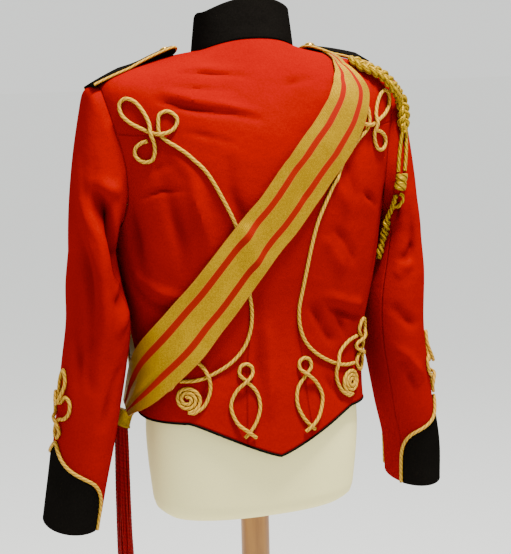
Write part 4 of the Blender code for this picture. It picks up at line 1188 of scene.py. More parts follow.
def inset(outline: Array, face: Face, gap: float) -> Array:
    """An outline drawn in all round.

    Args:
        outline: its places on the face.
        face: the face.
        gap: how far, in millimetres of cloth.
    Returns:
        The new outline.
    """
    scale = face.scale(outline[:, 0], outline[:, 1])
    area = np.dot(outline[:, 0], np.roll(outline[:, 1], -1)) - np.dot(outline[:, 1], np.roll(outline[:, 0], -1))
    turn = 1 if area > 0 else -1
    before = unit((outline - np.roll(outline, 1, axis=0)) * scale)
    after = unit((np.roll(outline, -1, axis=0) - outline) * scale)
    normals = [turn * np.stack([-e[:, 1], e[:, 0]], -1) for e in (before, after)]
    middle = unit(normals[0] + normals[1])
    mitre = gap / np.maximum(0.4, np.sum(middle * normals[0], axis=1))
    return outline + middle * mitre[:, None] / scale


@dataclass
class Panel(Piece):
    """A piece of cloth, cut to an outline and laid on a face, with the thickness of its cloth."""

    face: Face = field(default_factory=Face)
    outline: Array = field(default_factory=lambda: np.zeros((0, 2)))
    wall: float = CLOTH_WALL
    lift: float = 0.0
    cell: float = 3.6
    full_width: bool = False
    flipped: bool = False

    def lines(self, axis: int, scale: Array) -> list[float]:
        """Where the panel is cut into cells.

        Args:
            axis: 0 for u and 1 for v.
            scale: millimetres for a unit of u and of v.
        Returns:
            The lines' places.
        """
        size = self.cell / float(scale[axis]) * 1.0
        low, high = self.outline[:, axis].min(), self.outline[:, axis].max()
        return steps(low, high, size)[1:-1]

    def edge_distance(self, u: Array, v: Array) -> Array:
        """How far each place is from the panel's outline.

        Args:
            u: round the face.
            v: along it.
        Returns:
            Millimetres.
        """
        scale = self.face.scale(u, v)
        best = np.full(u.shape, 1e9)
        for a, b in zip(self.outline, np.roll(self.outline, -1, axis=0)):
            start = (np.stack([u, v], -1) - a) * scale
            span = (b - a) * scale
            t = np.clip(np.sum(start * span, -1) / np.maximum(np.sum(span * span, -1), 1e-9), 0, 1)
            best = np.minimum(best, np.linalg.norm(start - span * t[:, None], axis=-1))
        return best

    def build(self) -> bpy.types.Object:
        """Cuts the cloth into cells, lays it on its face and gives it its thickness.

        Returns:
            The object.
        """
        bm = bmesh.new()
        bm.faces.new([bm.verts.new((u, v, 0)) for u, v in self.outline])
        middle = self.outline.mean(axis=0)
        scale = self.face.scale(middle[0:1], middle[1:2])[0]
        for axis in (0, 1):
            for line in self.lines(axis, scale):
                bmesh.ops.bisect_plane(
                    bm,
                    geom=bm.verts[:] + bm.edges[:] + bm.faces[:],
                    dist=0.02,
                    plane_co=(line, 0, 0) if axis == 0 else (0, line, 0),
                    plane_no=(1, 0, 0) if axis == 0 else (0, 1, 0),
                )
        made = bmesh.ops.extrude_face_region(bm, geom=bm.faces[:])
        bm.verts.index_update()
        under = {v.index for v in made["geom"] if isinstance(v, bmesh.types.BMVert)}
        places = np.array([v.co[:2] for v in bm.verts])
        pattern = bm.loops.layers.uv.new("pattern")
        low, high = self.outline.min(axis=0), self.outline.max(axis=0)
        for loop in (loop for f in bm.faces for loop in f.loops):
            u, v, _ = loop.vert.co
            if self.full_width:
                share = (high[0] - u) / (high[0] - low[0])
                loop[pattern].uv = (1 - share if self.flipped else share, v * MM)
            else:
                loop[pattern].uv = (u * scale[0] * MM, v * scale[1] * MM)
        # fold holds each place's crease depth, from which the wool's material paints shade into the folds.
        edge, fold = (bm.verts.layers.float.new(name) for name in ("edge", "fold"))
        out = np.array([self.lift - (self.wall if i in under else 0.0) for i in range(len(places))])
        points = self.face.place(places[:, 0], places[:, 1], out)
        away = self.edge_distance(places[:, 0], places[:, 1])
        depths = -self.face.relief(places[:, 0], places[:, 1])
        for vert, point, distance, depth in zip(bm.verts, points, away, depths):
            vert.co = point
            vert[edge], vert[fold] = distance, depth
        return self.add(bm)


@dataclass
class Line:
    """A middle line in space, with a way out at each of its points."""

    points: Array
    outs: Array
    cyclic: bool = False

    @property
    def lengths(self) -> Array:
        """The length from the start to each point, in millimetres."""
        return np.concatenate([[0], np.cumsum(np.linalg.norm(np.diff(self.points, axis=0), axis=1))]) / MM

    def even(self, size: float) -> Line:
        """The same line with points evenly spaced.

        Args:
            size: about how far apart, in millimetres.
        Returns:
            The new line.
        """
        lengths = self.lengths
        stops = np.array(steps(0, float(lengths[-1]), size * (1.0)))
        points, outs = (
            np.stack([np.interp(stops, lengths, data[:, k]) for k in range(3)], -1) for data in (self.points, self.outs)
        )
        return Line(points, unit(outs), self.cyclic)

    def frames(self) -> tuple[Array, Array, Array]:
        """The ways along, across and out at each point.

        Returns:
            The three, each a row for a point.
        """
        if self.cyclic:
            core = self.points[:-1]
            run = np.roll(core, -1, axis=0) - np.roll(core, 1, axis=0)
            run = np.concatenate([run, run[:1]])
        else:
            run = np.gradient(self.points, axis=0)
        run = unit(run)
        across = unit(np.cross(run, self.outs))
        return run, across, unit(np.cross(across, run))


def laid(rows: Sequence[Sequence[float]] | Array, face: Face, height: float, cyclic: bool = False) -> Line:
    """A cord's line on cloth.

    Args:
        rows: u, v and a lift in cord diameters at each place.
        face: the cloth.
        height: of the cord's middle above it.
        cyclic: whether the line closes.
    Returns:
        The line.
    """
    fine = Track(rows, cyclic).smooth(10)
    off = height + fine[:, 2] * 2 * CORD
    if cyclic:
        off[-1] = off[0]
    return Line(face.place(fine[:, 0], fine[:, 1], off), face.normal(fine[:, 0], fine[:, 1]), cyclic)


def roped(rows: Sequence[Rope]) -> tuple[Line, Array]:
    """A rope's line over the right side.

    Args:
        rows: its table.
    Returns:
        The line, and its radius at each point.
    """
    faces = {"body": Body(-1, -1), "sleeve": Sleeve(-1, -1)}
    fixed = []
    for row in rows:
        u, v = np.array([row.u]), np.array([row.v])
        face = faces[row.cloth]
        fixed.append([*face.place(u, v, row.off)[0], *face.normal(u, v)[0], row.radius])
    fine = Track(fixed).smooth(12)
    return Line(fine[:, :3], unit(fine[:, 3:6])), fine[:, 6]


@dataclass
class Strand:
    """A cord's skin round one line. Its plies wind once round it in the length of its lay."""

    line: Line
    radius: float | Array
    plies: int = 3
    lay: float = 8.0
    depth: float = 0.055
    sides: int = 12
    size: float = 1.2
    wide: float = 1.0

    def rings(self) -> tuple[Array, Array, Array]:
        """The rings of the skin.

        Returns:
            The points of each ring, how deep each lies between the plies, and the length to each ring.
        """
        line = self.line.even(self.size)
        lengths = line.lengths
        radius = np.broadcast_to(np.asarray(self.radius, float), (len(self.line.points),))
        radius = np.interp(lengths, self.line.lengths, radius)
        _, across, out = line.frames()
        turns = 2 * math.pi * np.arange(self.sides) / self.sides
        lay = lengths[-1] / max(1, round(lengths[-1] / self.lay)) if line.cyclic else self.lay
        phase = 2 * math.pi * lengths / lay
        groove = 1 - np.abs(np.cos(self.plies / 2 * (turns[None] - phase[:, None] / self.plies)))
        reach = radius[:, None] * (1 - self.depth * groove)
        ring = across[:, None] * np.cos(turns)[:, None] * self.wide + out[:, None] * np.sin(turns)[:, None]
        return line.points[:, None] + ring * reach[..., None] * MM, groove, lengths


def skin(bm: bmesh.types.BMesh, rings: Array, groove: Array | None = None, lengths: Array | None = None) -> None:
    """Adds a skin through rings of points, closed at its ends.

    Args:
        bm: what it is added to.
        rings: the points of each ring, the same number in each.
        groove: a number for each point.
        lengths: the length to each ring, in millimetres.
    """
    count, sides = rings.shape[:2]
    pattern = bm.loops.layers.uv.get("pattern") or bm.loops.layers.uv.new("pattern")
    # groove holds how deep each point lies between the plies, from which the cord and thread materials paint shade.
    hollow = bm.verts.layers.float.get("groove") or bm.verts.layers.float.new("groove")
    made = bmesh.ops.create_grid(bm, x_segments=sides, y_segments=count - 1, size=1.0)["verts"]
    where = {}
    lengths = np.arange(count) if lengths is None else lengths
    for vert in made:
        i = round((vert.co.x + 1) / 2 * sides)
        j = round((vert.co.y + 1) / 2 * (count - 1))
        where[vert] = (i, j)
        vert[hollow] = 0.0 if groove is None else float(groove[j, i % sides])
    for loop in (loop for vert in made for loop in vert.link_loops):
        i, j = where[loop.vert]
        loop[pattern].uv = (i / sides, float(lengths[j]) * MM)
    for vert in made:
        i, j = where[vert]
        vert.co = rings[j, i % sides]
    seam = [v for v in made if where[v][0] in (0, sides)]
    ends = [v for v in made if where[v][1] in (0, count - 1) and where[v][0] not in (0, sides)]
    bmesh.ops.remove_doubles(bm, verts=seam + ends, dist=1e-6)
    edges = {e for v in seam + ends if v.is_valid for e in v.link_edges if e.is_boundary}
    if edges:
        bmesh.ops.holes_fill(bm, edges=list(edges), sides=0)


@dataclass
class Cords(Piece):
    """One or several cords that are one piece."""

    strands: list[Strand] = field(default_factory=list)

    def build(self) -> bpy.types.Object:
        """Winds the cords.

        Returns:
            The object.
        """
        bm = bmesh.new()
        for strand in self.strands:
            skin(bm, *strand.rings())
        return self.add(bm, 60)


@dataclass
class Turned(Piece):
    """A turned piece, from its radius and its place along its axis at each step, in millimetres."""

    middle: Array = field(default_factory=lambda: np.zeros(3))
    axis: Array = field(default_factory=lambda: np.array([0.0, 0, 1]))
    profile: Points = ()
    sides: int = 48
    squash: tuple[float, float] = (1.0, 1.0)

    def build(self) -> bpy.types.Object:
        """Turns the piece.

        Returns:
            The object.
        """
        axis = unit(np.asarray(self.axis, float))
        across = unit(np.cross(axis, (0.0, 1.0, 0.0) if abs(axis[1]) < 0.9 else (1.0, 0, 0)))
        other = np.cross(axis, across)
        turns = 2 * math.pi * np.arange(self.sides) / self.sides
        ring = across * np.cos(turns)[:, None] * self.squash[0] + other * np.sin(turns)[:, None] * self.squash[1]
        rings = [np.asarray(self.middle) + (ring * r + axis * h) * MM for r, h in self.profile]
        bm = bmesh.new()
        skin(bm, np.array(rings))
        return self.add(bm, 35)


class Cut(NamedTuple):
    """The flat size of a piece of cloth, and its area where it isn't a rectangle."""

    width: float
    length: float
    area: float


def declare(obj: bpy.types.Object, cut: Cut) -> None:
    """Works out a sheet's area from its flat size, and does nothing with it.

    Args:
        obj: the sheet; not used.
        cut: its flat size in metres.
    """
    area = min(cut.area, cut.width * cut.length)
    cut.length


CUTS = {
    "back": Cut(0.46, 0.56, 0.112),
    "side_back": Cut(0.19, 0.42, 0.063),
    "front": Cut(0.29, 0.53, 0.112),
    "top_sleeve": Cut(0.30, 0.60, 0.124),
    "under_sleeve": Cut(0.10, 0.57, 0.0365),
    "collar": Cut(0.40, 0.056, 0.0214),
    "cuff_left": Cut(0.22, 0.12, 0.016),
    "cuff_right": Cut(0.235, 0.13, 0.0195),
    "sash_back": Cut(0.07, 0.667, 0.0467),
    "sash_front": Cut(0.07, 0.683, 0.0478),
}


@dataclass
class Button:
    """A domed button with a rim, drawn from its profile in shares of its radius and its height."""

    node: str
    radius: float = 7.5
    height: float = 5.0
    profile: Points = (
        (0.70, 0.0), (0.86, 0.02), (0.97, 0.12), (1.0, 0.2), (0.97, 0.28), (0.90, 0.33), (0.90, 0.40), (0.84, 0.58),
        (0.70, 0.77), (0.50, 0.91), (0.26, 0.98), (0.05, 1.0),
    )

    def build(self, middle: Array, out: Array) -> None:
        """Builds the button."""
        profile = [(self.radius * r, self.height * h) for r, h in self.profile]
        Turned(f"{self.node}_gilt", Finish.GILT, Slot.GILT, (self.node,), middle, out, profile, 28).build()


@dataclass
class Coat:
    """The jacket's body: back, side backs, fronts, collar, buttons and the piping of its hem."""

    faces: dict[str, Body] = field(
        default_factory=lambda: {name: Body(side, side, BODY_CREASES[name]) for name, side in SIDES}
    )
    seam_down: float = 131.0
    hem_side: float = 503.0
    hem_back: float = 554.0
    hem_front: float = 522.0
    hem_straight: float = 45.0
    hem_curve: float = 1.3
    collar_opening: float = 1.5
    collar_wall: float = 2.6
    piping: float = 2.0
    buttons: int = 8
    button_first: float = 22.0
    button_last: float = 485.0
    button_angle: float = -85.0

    def hem(self, angle: float) -> float:
        """The hem's drop.

        Args:
            angle: on either side of the body.
        Returns:
            The drop.
        """
        dip = self.hem_back if angle > 0 else self.hem_front
        t = max(0.0, (abs(angle) - self.hem_straight) / (90 - self.hem_straight))
        return self.hem_side + (dip - self.hem_side) * t**self.hem_curve

    def armhole_line(self, first: float, last: float) -> Curve:
        """The armhole's edge on the body, from one turn to another."""
        return [tuple(float(x) for x in armhole(np.array(t))) for t in steps(first, last, 3)]

    def seam(self) -> Curve:
        """The seam between the back and the side back, from the armhole to the hem."""
        return [tuple(row) for row in Track([self.armhole_line(0, self.seam_turn())[-1], *BACK_SEAM]).smooth(4)]

    def seam_turn(self) -> float:
        """The turn round the armhole where that seam meets it."""
        middle, half = (ARMHOLE_TOP + ARMHOLE_BOTTOM) / 2, (ARMHOLE_BOTTOM - ARMHOLE_TOP) / 2
        return math.degrees(math.acos((middle - self.seam_down) / half))

    def back_outline(self) -> Array:
        """The outline of the whole back.

        Returns:
            Its places on the body, where an angle over 90 is on the right.
        """
        half = joined(
            [(a, 0) for a in steps(90, 0, 3)], [(0, d) for d in steps(0, ARMHOLE_TOP, 8)],
            self.armhole_line(0, self.seam_turn()), self.seam(),
            [(a, self.hem(a)) for a in steps(BACK_SEAM[-1].angle, 90, 1.5)],
        )
        return joined(half, [(180 - a, d) for a, d in half[::-1]])

    def panel(self, face: Body, key: str, outline: Array, node: str) -> None:
        """Args:
            face: what it lies on.
            key: its cut.
            outline: its places on the body.
            node: the CAD node that it stands for.
        """
        shape = inset(outline, face, SEAM_GAP / 2)
        piece = Panel(f"{node}_cloth", Finish.SCARLET, Slot.SCARLET, (node,), face, shape)
        declare(piece.build(), CUTS[key])

    def build_panels(self) -> None:
        """Builds the five pieces of scarlet cloth."""
        mirrored = [Crease(c.depth, c.width, tuple((180 - a, d) for a, d in c.line)) for c in BODY_CREASES["right"]]
        whole = Body(1, 1, [*BODY_CREASES["left"], *mirrored])
        self.panel(whole, "back", self.back_outline(), "back")
        for name, _ in SIDES:
            below = [(a, self.hem(a)) for a in steps(0, BACK_SEAM[-1].angle, 3)]
            side_back = joined(
                self.armhole_line(self.seam_turn(), 180), [(0, d) for d in steps(ARMHOLE_BOTTOM, self.hem_side, 8)],
                below, self.seam()[::-1],
            )
            self.panel(self.faces[name], "side_back", side_back, f"side_back_{name}")
            front = joined(
                [(a, 0) for a in steps(0, -90, 3)], [(-90, d) for d in steps(0, self.hem(-90), 8)],
                [(a, self.hem(a)) for a in steps(-90, 0, 3)], [(0, d) for d in steps(self.hem_side, ARMHOLE_BOTTOM, 8)],
                self.armhole_line(180, 360), [(0, d) for d in steps(ARMHOLE_TOP, 0, 8)],
            )
            self.panel(self.faces[name], "front", front, f"front_{name}")

    def build_collar(self) -> None:
        """Builds the standing collar."""
        first, last, top = -90 + self.collar_opening, 270 - self.collar_opening, -COLLAR[-1].up
        outline = joined([(a, 0) for a in steps(first, last, 3)], [(a, top) for a in steps(last, first, 3)])
        face = Neck(1, 1, [Crease(0.8, 7, ((60, -12), (84, -20), (112, -14)))])
        piece = Panel("collar_cloth", Finish.BLACK, Slot.BLACK, ("collar",), face, outline, self.collar_wall)
        declare(piece.build(), CUTS["collar"])

    def build_piping(self) -> None:
        """Builds the corded edge of the hem."""
        angles = steps(-89, 90, 2.5)
        points, outs = [], []
        for side, run in ((1, angles), (-1, angles[::-1][1:])):
            face = Body(side, side)
            a, d = np.array(run), np.array([self.hem(x) + self.piping * 0.7 for x in run])
            points.append(face.place(a, d, -CLOTH_WALL / 2))
            outs.append(face.normal(a, d))
        line = Line(np.concatenate(points), np.concatenate(outs))
        strand = Strand(line, self.piping, plies=2, lay=9, depth=0.10, sides=10, size=2.5)
        Cords("hem_cord", Finish.BLACK, Slot.BLACK, ("hem_piping",), [strand]).build()

    def build_buttons(self) -> None:
        """Builds the front's buttons."""
        gap = (self.button_last - self.button_first) / (self.buttons - 1)
        for i in range(self.buttons):
            u, v = np.array([self.button_angle]), np.array([self.button_first + i * gap])
            face = self.faces["left"]
            Button(f"front_button_{i + 1}").build(face.place(u, v, SEAM_GAP)[0], face.normal(u, v)[0])

    def build(self) -> None:
        """Builds the whole body."""
        self.build_panels()
        self.build_collar()
        self.build_piping()
        self.build_buttons()


@dataclass
class Arm:
    """One sleeve with its pointed cuff and the cord on it."""

    name: str
    side: int
    hind_seam: float = 142.0
    fore_seam: float = 232.0
    cuff_behind: float = 113.0
    cuff_ahead: float = -122.0
    cuff_wall: float = 1.6
    cuff_lay: float = 0.5
    knot_above: float = 42.0

    def __post_init__(self) -> None:
        """Makes the sleeve's face."""
        self.face = Sleeve(self.side, self.side, SLEEVE_CREASES[self.name])

    def cuff_line(self) -> Curve:
        """The cuff's upper edge.

        Returns:
            Its places on the sleeve, from the seam in front over the cuff's point to the seam behind.
        """
        point, edge = CUFF_POINT[self.name], Track(CUFF_EDGE).smooth(4)
        front = [(point.turn + s * (self.cuff_ahead - point.turn), point.along + d) for s, d in edge]
        back = [(point.turn + s * self.cuff_behind, point.along + d) for s, d in edge]
        return [*front[::-1], *back[1:]]

    def build_cloth(self) -> None:
        """Builds the two pieces of the sleeve and the cuff."""
        pieces = {
            "top_sleeve": (self.fore_seam - 360, self.hind_seam),
            "under_sleeve": (self.hind_seam, self.fore_seam),
        }
        for key, (first, last) in pieces.items():
            outline = joined(
                [(a, 0) for a in steps(first, last, 4)], [(last, d) for d in steps(0, SLEEVE_END, 8)],
                [(a, SLEEVE_END) for a in steps(last, first, 4)], [(first, d) for d in steps(SLEEVE_END, 0, 8)],
            )
            node = f"{key}_{self.name}"
            shape = inset(outline, self.face, SEAM_GAP / 3)
            piece = Panel(f"{node}_cloth", Finish.SCARLET, Slot.SCARLET, (node,), self.face, shape)
            declare(piece.build(), CUTS[key])
        line = self.cuff_line()
        low = [(a, SLEEVE_END) for a in steps(line[-1][0], line[0][0], 4)]
        outline = joined(line, [(line[-1][0], d) for d in steps(line[-1][1], SLEEVE_END, 8)], low)
        cuff = Panel(
            f"cuff_{self.name}_cloth", Finish.BLACK, Slot.BLACK, (f"cuff_{self.name}",), self.face, outline,
            self.cuff_wall, self.cuff_wall + self.cuff_lay, 4.0,
        )
        declare(cuff.build(), CUTS[f"cuff_{self.name}"])

    def build_cord(self) -> None:
        """Builds the cuff's cord and the knot above its point."""
        line = np.array(self.cuff_line())
        scale = self.face.scale(line[:, 0], line[:, 1])
        run = unit(np.gradient(line, axis=0) * scale)
        edge = line + np.stack([run[:, 1], -run[:, 0]], -1) * (CORD + CORD_LAY) / scale
        ends = np.array([[edge[0, 0], SLEEVE_END - 1]]), np.array([[edge[-1, 0], SLEEVE_END - 1]])
        edge = np.concatenate([ends[0], edge[2:-2:2], ends[1]])
        rows = [(u, v, 0.0) for u, v in edge]
        cord(f"cuff_cord_{self.name}", laid(rows, self.face, CORD + CORD_LAY))
        point = CUFF_POINT[self.name]
        knot = figured(SLEEVE_KNOT, (point.turn, point.along - self.knot_above), self.face)
        cord(f"sleeve_knot_{self.name}", laid(knot, self.face, CORD + CORD_LAY))

    def build(self) -> None:
        """Builds the whole sleeve."""
        self.build_cloth()
        self.build_cord()


def figured(rows: Sequence[Sequence[float]], centre: Sequence[float], face: Face) -> list[tuple[float, float, float]]:
    """A figure's own steps turned into places on cloth.

    Args:
        rows: how far across and down, in millimetres, and the lift.
        centre: the figure's middle.
        face: the cloth.
    Returns:
        The places.
    """
    across, along = face.scale(np.array([float(centre[0])]), np.array([float(centre[1])]))[0]
    return [(centre[0] + r[0] / across, centre[1] + r[1] / along, r[2]) for r in rows]


def cord(node: str, line: Line) -> None:
    """Builds a gold cord.

    Args:
        node: the CAD node that it stands for.
        line: its middle line.
    """
    Cords(f"{node}_gold", Finish.CORD, Slot.CORD, (node,), [Strand(line, CORD)]).build()


@dataclass
class BackCord:
    """The gold cord on one side of the back: the knot, the coil, the side's knot and the figure of eight."""

    name: str
    face: Body
    shift: dict[str, float] = field(default_factory=lambda: {"left": 0.0, "right": 2.6})
    shift_from: float = 160.0
    shift_to: float = 135.0
    coil_start: float = 3.0
    coil_pitch: float = 5.5
    coil_turns: float = 2.6

    def knot_rows(self) -> list[Lay]:
        """The knot on the shoulder blade and the cord down the seam. The right one's knot is nearer the middle.

        Returns:
            Its places on the body.
        """
        shift, span = self.shift[self.name], self.shift_from - self.shift_to
        return [
            Lay(a + shift * min(1.0, max(0.0, (self.shift_from - d) / span)), d, lift) for a, d, lift in BACK_KNOT
        ]

    def coil(self) -> Line:
        """The flat coil and its tail.

        Returns:
            Their middle line.
        """
        turns = np.array(steps(0, self.coil_turns * 360, 8))
        reach = self.coil_start + self.coil_pitch * turns / 360
        bearing = radians(90 - self.coil_turns * 360 + turns)
        spiral = np.stack([reach * np.cos(bearing), reach * np.sin(bearing), 0 * reach], -1)
        places = np.array(figured(spiral, ROSETTE_CENTRE, self.face))
        places = np.concatenate([places, Track(ROSETTE_TAIL).smooth(10)])
        off = CORD + CORD_LAY + places[:, 2] * 2 * CORD
        return Line(self.face.place(places[:, 0], places[:, 1], off), self.face.normal(places[:, 0], places[:, 1]))

    def build(self) -> None:
        """Builds the four cords."""
        height = CORD + CORD_LAY
        cord(f"back_knot_{self.name}", laid(self.knot_rows(), self.face, height))
        cord(f"rosette_{self.name}", self.coil())
        side_knot = figured(SIDE_KNOT, SIDE_KNOT_CENTRE, self.face)
        cord(f"side_knot_{self.name}", laid(side_knot, self.face, height, cyclic=True))
        cord(f"seam_eight_{self.name}", laid(figured(EIGHT, EIGHT_CENTRE, self.face), self.face, height))


@dataclass
class ShoulderStrap:
    """A stiff cloth-covered strap with a cord edge and a button."""

    name: str
    side: int
    wall: float = 6.0
    outer_width: float = 46.0
    inner_width: float = 38.0
    tip: float = 14.0
    edging: float = 1.8
    button_in: float = 13.0
    button_lift: float = 0.7

    def __post_init__(self) -> None:
        """Makes the strap's face."""
        self.face = Board(self.side, -self.side, [], STRAPS[self.name])

    def outline(self, margin: float) -> Curve:
        """The strap's outline from its outer end round its tip and back.

        Args:
            margin: how far outside its edge, in millimetres.
        Returns:
            The outline's places on the strap.
        """
        outer, inner = self.outer_width / 2 + margin, self.inner_width / 2 + margin
        straight, reach = self.face.length - self.tip, self.tip + margin
        angles = [math.radians(a) for a in steps(0, 180, 10)]
        turn = [(inner * math.cos(a), straight + reach * math.sin(a)) for a in angles]
        edge = [(outer + (inner - outer) * t, straight * t) for t in steps(0, 1, 0.08)]
        return [*edge, *turn[1:-1], *[(-u, v) for u, v in edge[::-1]]]

    def build(self) -> None:
        """Builds the strap, its cord and its button."""
        half = self.outer_width / 2
        outline = joined(self.outline(0), [(u, 0) for u in steps(-half, half, 5)])
        node = f"strap_{self.name}"
        Panel(f"{node}_cloth", Finish.BLACK, Slot.BLACK, (node,), self.face, outline, self.wall).build()
        places = np.array(self.outline(self.edging + SEAM_GAP / 2))
        line = Line(
            self.face.place(places[:, 0], places[:, 1], -self.wall / 2), self.face.normal(places[:, 0], places[:, 1])
        )
        strand = Strand(line, self.edging, lay=8)
        Cords(f"strap_cord_{self.name}_gold", Finish.CORD, Slot.CORD, (f"strap_cord_{self.name}",), [strand]).build()
        u, v = np.zeros(1), np.array([self.face.length - self.button_in])
        middle = self.face.place(u, v, SEAM_GAP + self.button_lift)[0]
        Button(f"strap_button_{self.name}").build(middle, self.face.normal(u, v)[0])


@dataclass
class Sash:
    """The striped shoulder sash, in a run behind and a run in front."""

    width: float = 70.0
    wall: float = 1.4
    apart: float = 0.6

    def creases(self, length: float) -> list[Crease]:
        """Where the lace bends: under the strap, over the back and where it is gathered.

        Args:
            length: of the run.
        Returns:
            The creases.
        """
        return [
            Crease(2.0, 4, ((-14, 0), (-12, 40), (-16, 90))), Crease(1.6, 4, ((10, 0), (12, 36), (8, 80))),
            Crease(1.8, 8, ((24, 246), (2, 262), (-26, 282))), Crease(-7.0, 12, ((30, 346), (0, 368), (-30, 384))),
            Crease(2.6, 5, ((-10, length - 100), (-9, length - 40), (-8, length))),
            Crease(2.2, 5, ((14, length - 80), (12, length - 30), (10, length))),
        ]

    def outline(self, length: float) -> Array:
        """The outline of one run.

        Args:
            length: of the run.
        Returns:
            Its places on the sash's face.
        """
        half, top = self.width / 2, self.apart
        return joined(
            [(u, top) for u in steps(-half, half, 3)], [(half, v) for v in steps(top, length, 4)[1:]],
            [(u, length) for u in steps(half, -half, 3)], [(-half, v) for v in steps(length, top, 4)[:-1]],
        )

    def build(self) -> None:
        """Builds the two runs."""
        for node, front in (("sash_back", False), ("sash_front", True)):
            face = SashFace(1, -1, [], front)
            face.creases = self.creases(face.length)
            outline = self.outline(face.length)
            piece = Panel(
                f"{node}_lace", Finish.LACE, Slot.LACE, (node,), face, outline, self.wall, self.wall, 3.4, True, front
            )
            declare(piece.build(), CUTS[node])


@dataclass
class Keeper:
    """The band of lace that gathers the sash's ends, leaning with them."""

    centre: tuple[float, float, float] = (181.5, -20.0, -510.0)
    reach: tuple[float, float] = (11.5, 11.0)
    height: float = 22.0
    lean: float = -0.33
    slant: float = 0.45
    sides: int = 44

    def build(self) -> None:
        """Builds the band."""
        half = self.height / 2
        profile = [
            (0.30, half - 2.0), (0.74, half - 1.0), (0.90, half - 0.2), (0.985, half - 0.6), (1.0, half - 1.6),
            (0.96, half - 3.0), (0.90, half - 4.2), (0.885, 0.0), (0.90, 4.2 - half), (0.965, 3.0 - half),
            (1.0, 1.6 - half), (0.985, 0.6 - half), (0.90, 0.2 - half), (0.74, 1.0 - half), (0.30, 2.0 - half),
        ]
        turns = 2 * math.pi * np.arange(self.sides) / self.sides
        x, y = self.reach[0] * np.cos(turns), self.reach[1] * np.sin(turns)
        middle = np.array(self.centre) + (0, 0, NAPE_HEIGHT / MM)
        rings = [middle + np.stack([x * r + self.lean * h, y * r, h + self.slant * x * r], -1) for r, h in profile]
        bm = bmesh.new()
        skin(bm, np.array(rings) * MM)
        Piece("keeper", Finish.KEEPER, Slot.LACE, ("sash_keeper",)).add(bm, 35)


@dataclass
class Tassel:
    """The tassel below the keeper, spread in a spiral so that its strands lie evenly."""

    keeper: Keeper
    strands: int = 84
    strand_radius: float = 1.15
    head_radius: float = 8.4
    length: float = 265.0
    spiral: float = 2.39996

    def build(self) -> None:
        """Builds the hanging strands."""
        keeper = self.keeper
        top = keeper.centre[2] - keeper.height / 2 + 1.5
        x, y = keeper.centre[0] - keeper.lean * keeper.height / 2, keeper.centre[1]
        down = np.linspace(0, 1, 24)
        strands = []
        for i in range(self.strands):
            reach = math.sqrt((i + 0.5) / self.strands)
            bearing = i * self.spiral
            start = self.head_radius * reach
            spread = start * (1 + 0.34 * down**0.8) + 0.7 * np.sin(down * (5 + i % 4) + i) * down
            sway = 1.4 * np.sin(down * 4.2) * down + 0.5 * np.sin(down * 11 + i * 1.7) * down
            turn = bearing + 0.12 * np.sin(down * 3 + i)
            slope = NAPE_HEIGHT / MM + keeper.slant * spread * np.cos(turn)
            drop = self.length * (1 - 0.012 * (i * 7 % 5)) * down
            points = np.stack([x + spread * np.cos(turn) + sway, y + spread * np.sin(turn), slope + top - drop], -1)
            outs = np.tile([1.0, 0.0, 0.0], (len(down), 1))
            line = Line(points * MM, outs)
            strands.append(Strand(line, self.strand_radius, plies=2, lay=5.2, depth=0.30, sides=6, size=1.5))
        Cords("tassel", Finish.TASSEL, Slot.TASSEL, ("sash_tassel",), strands).build()


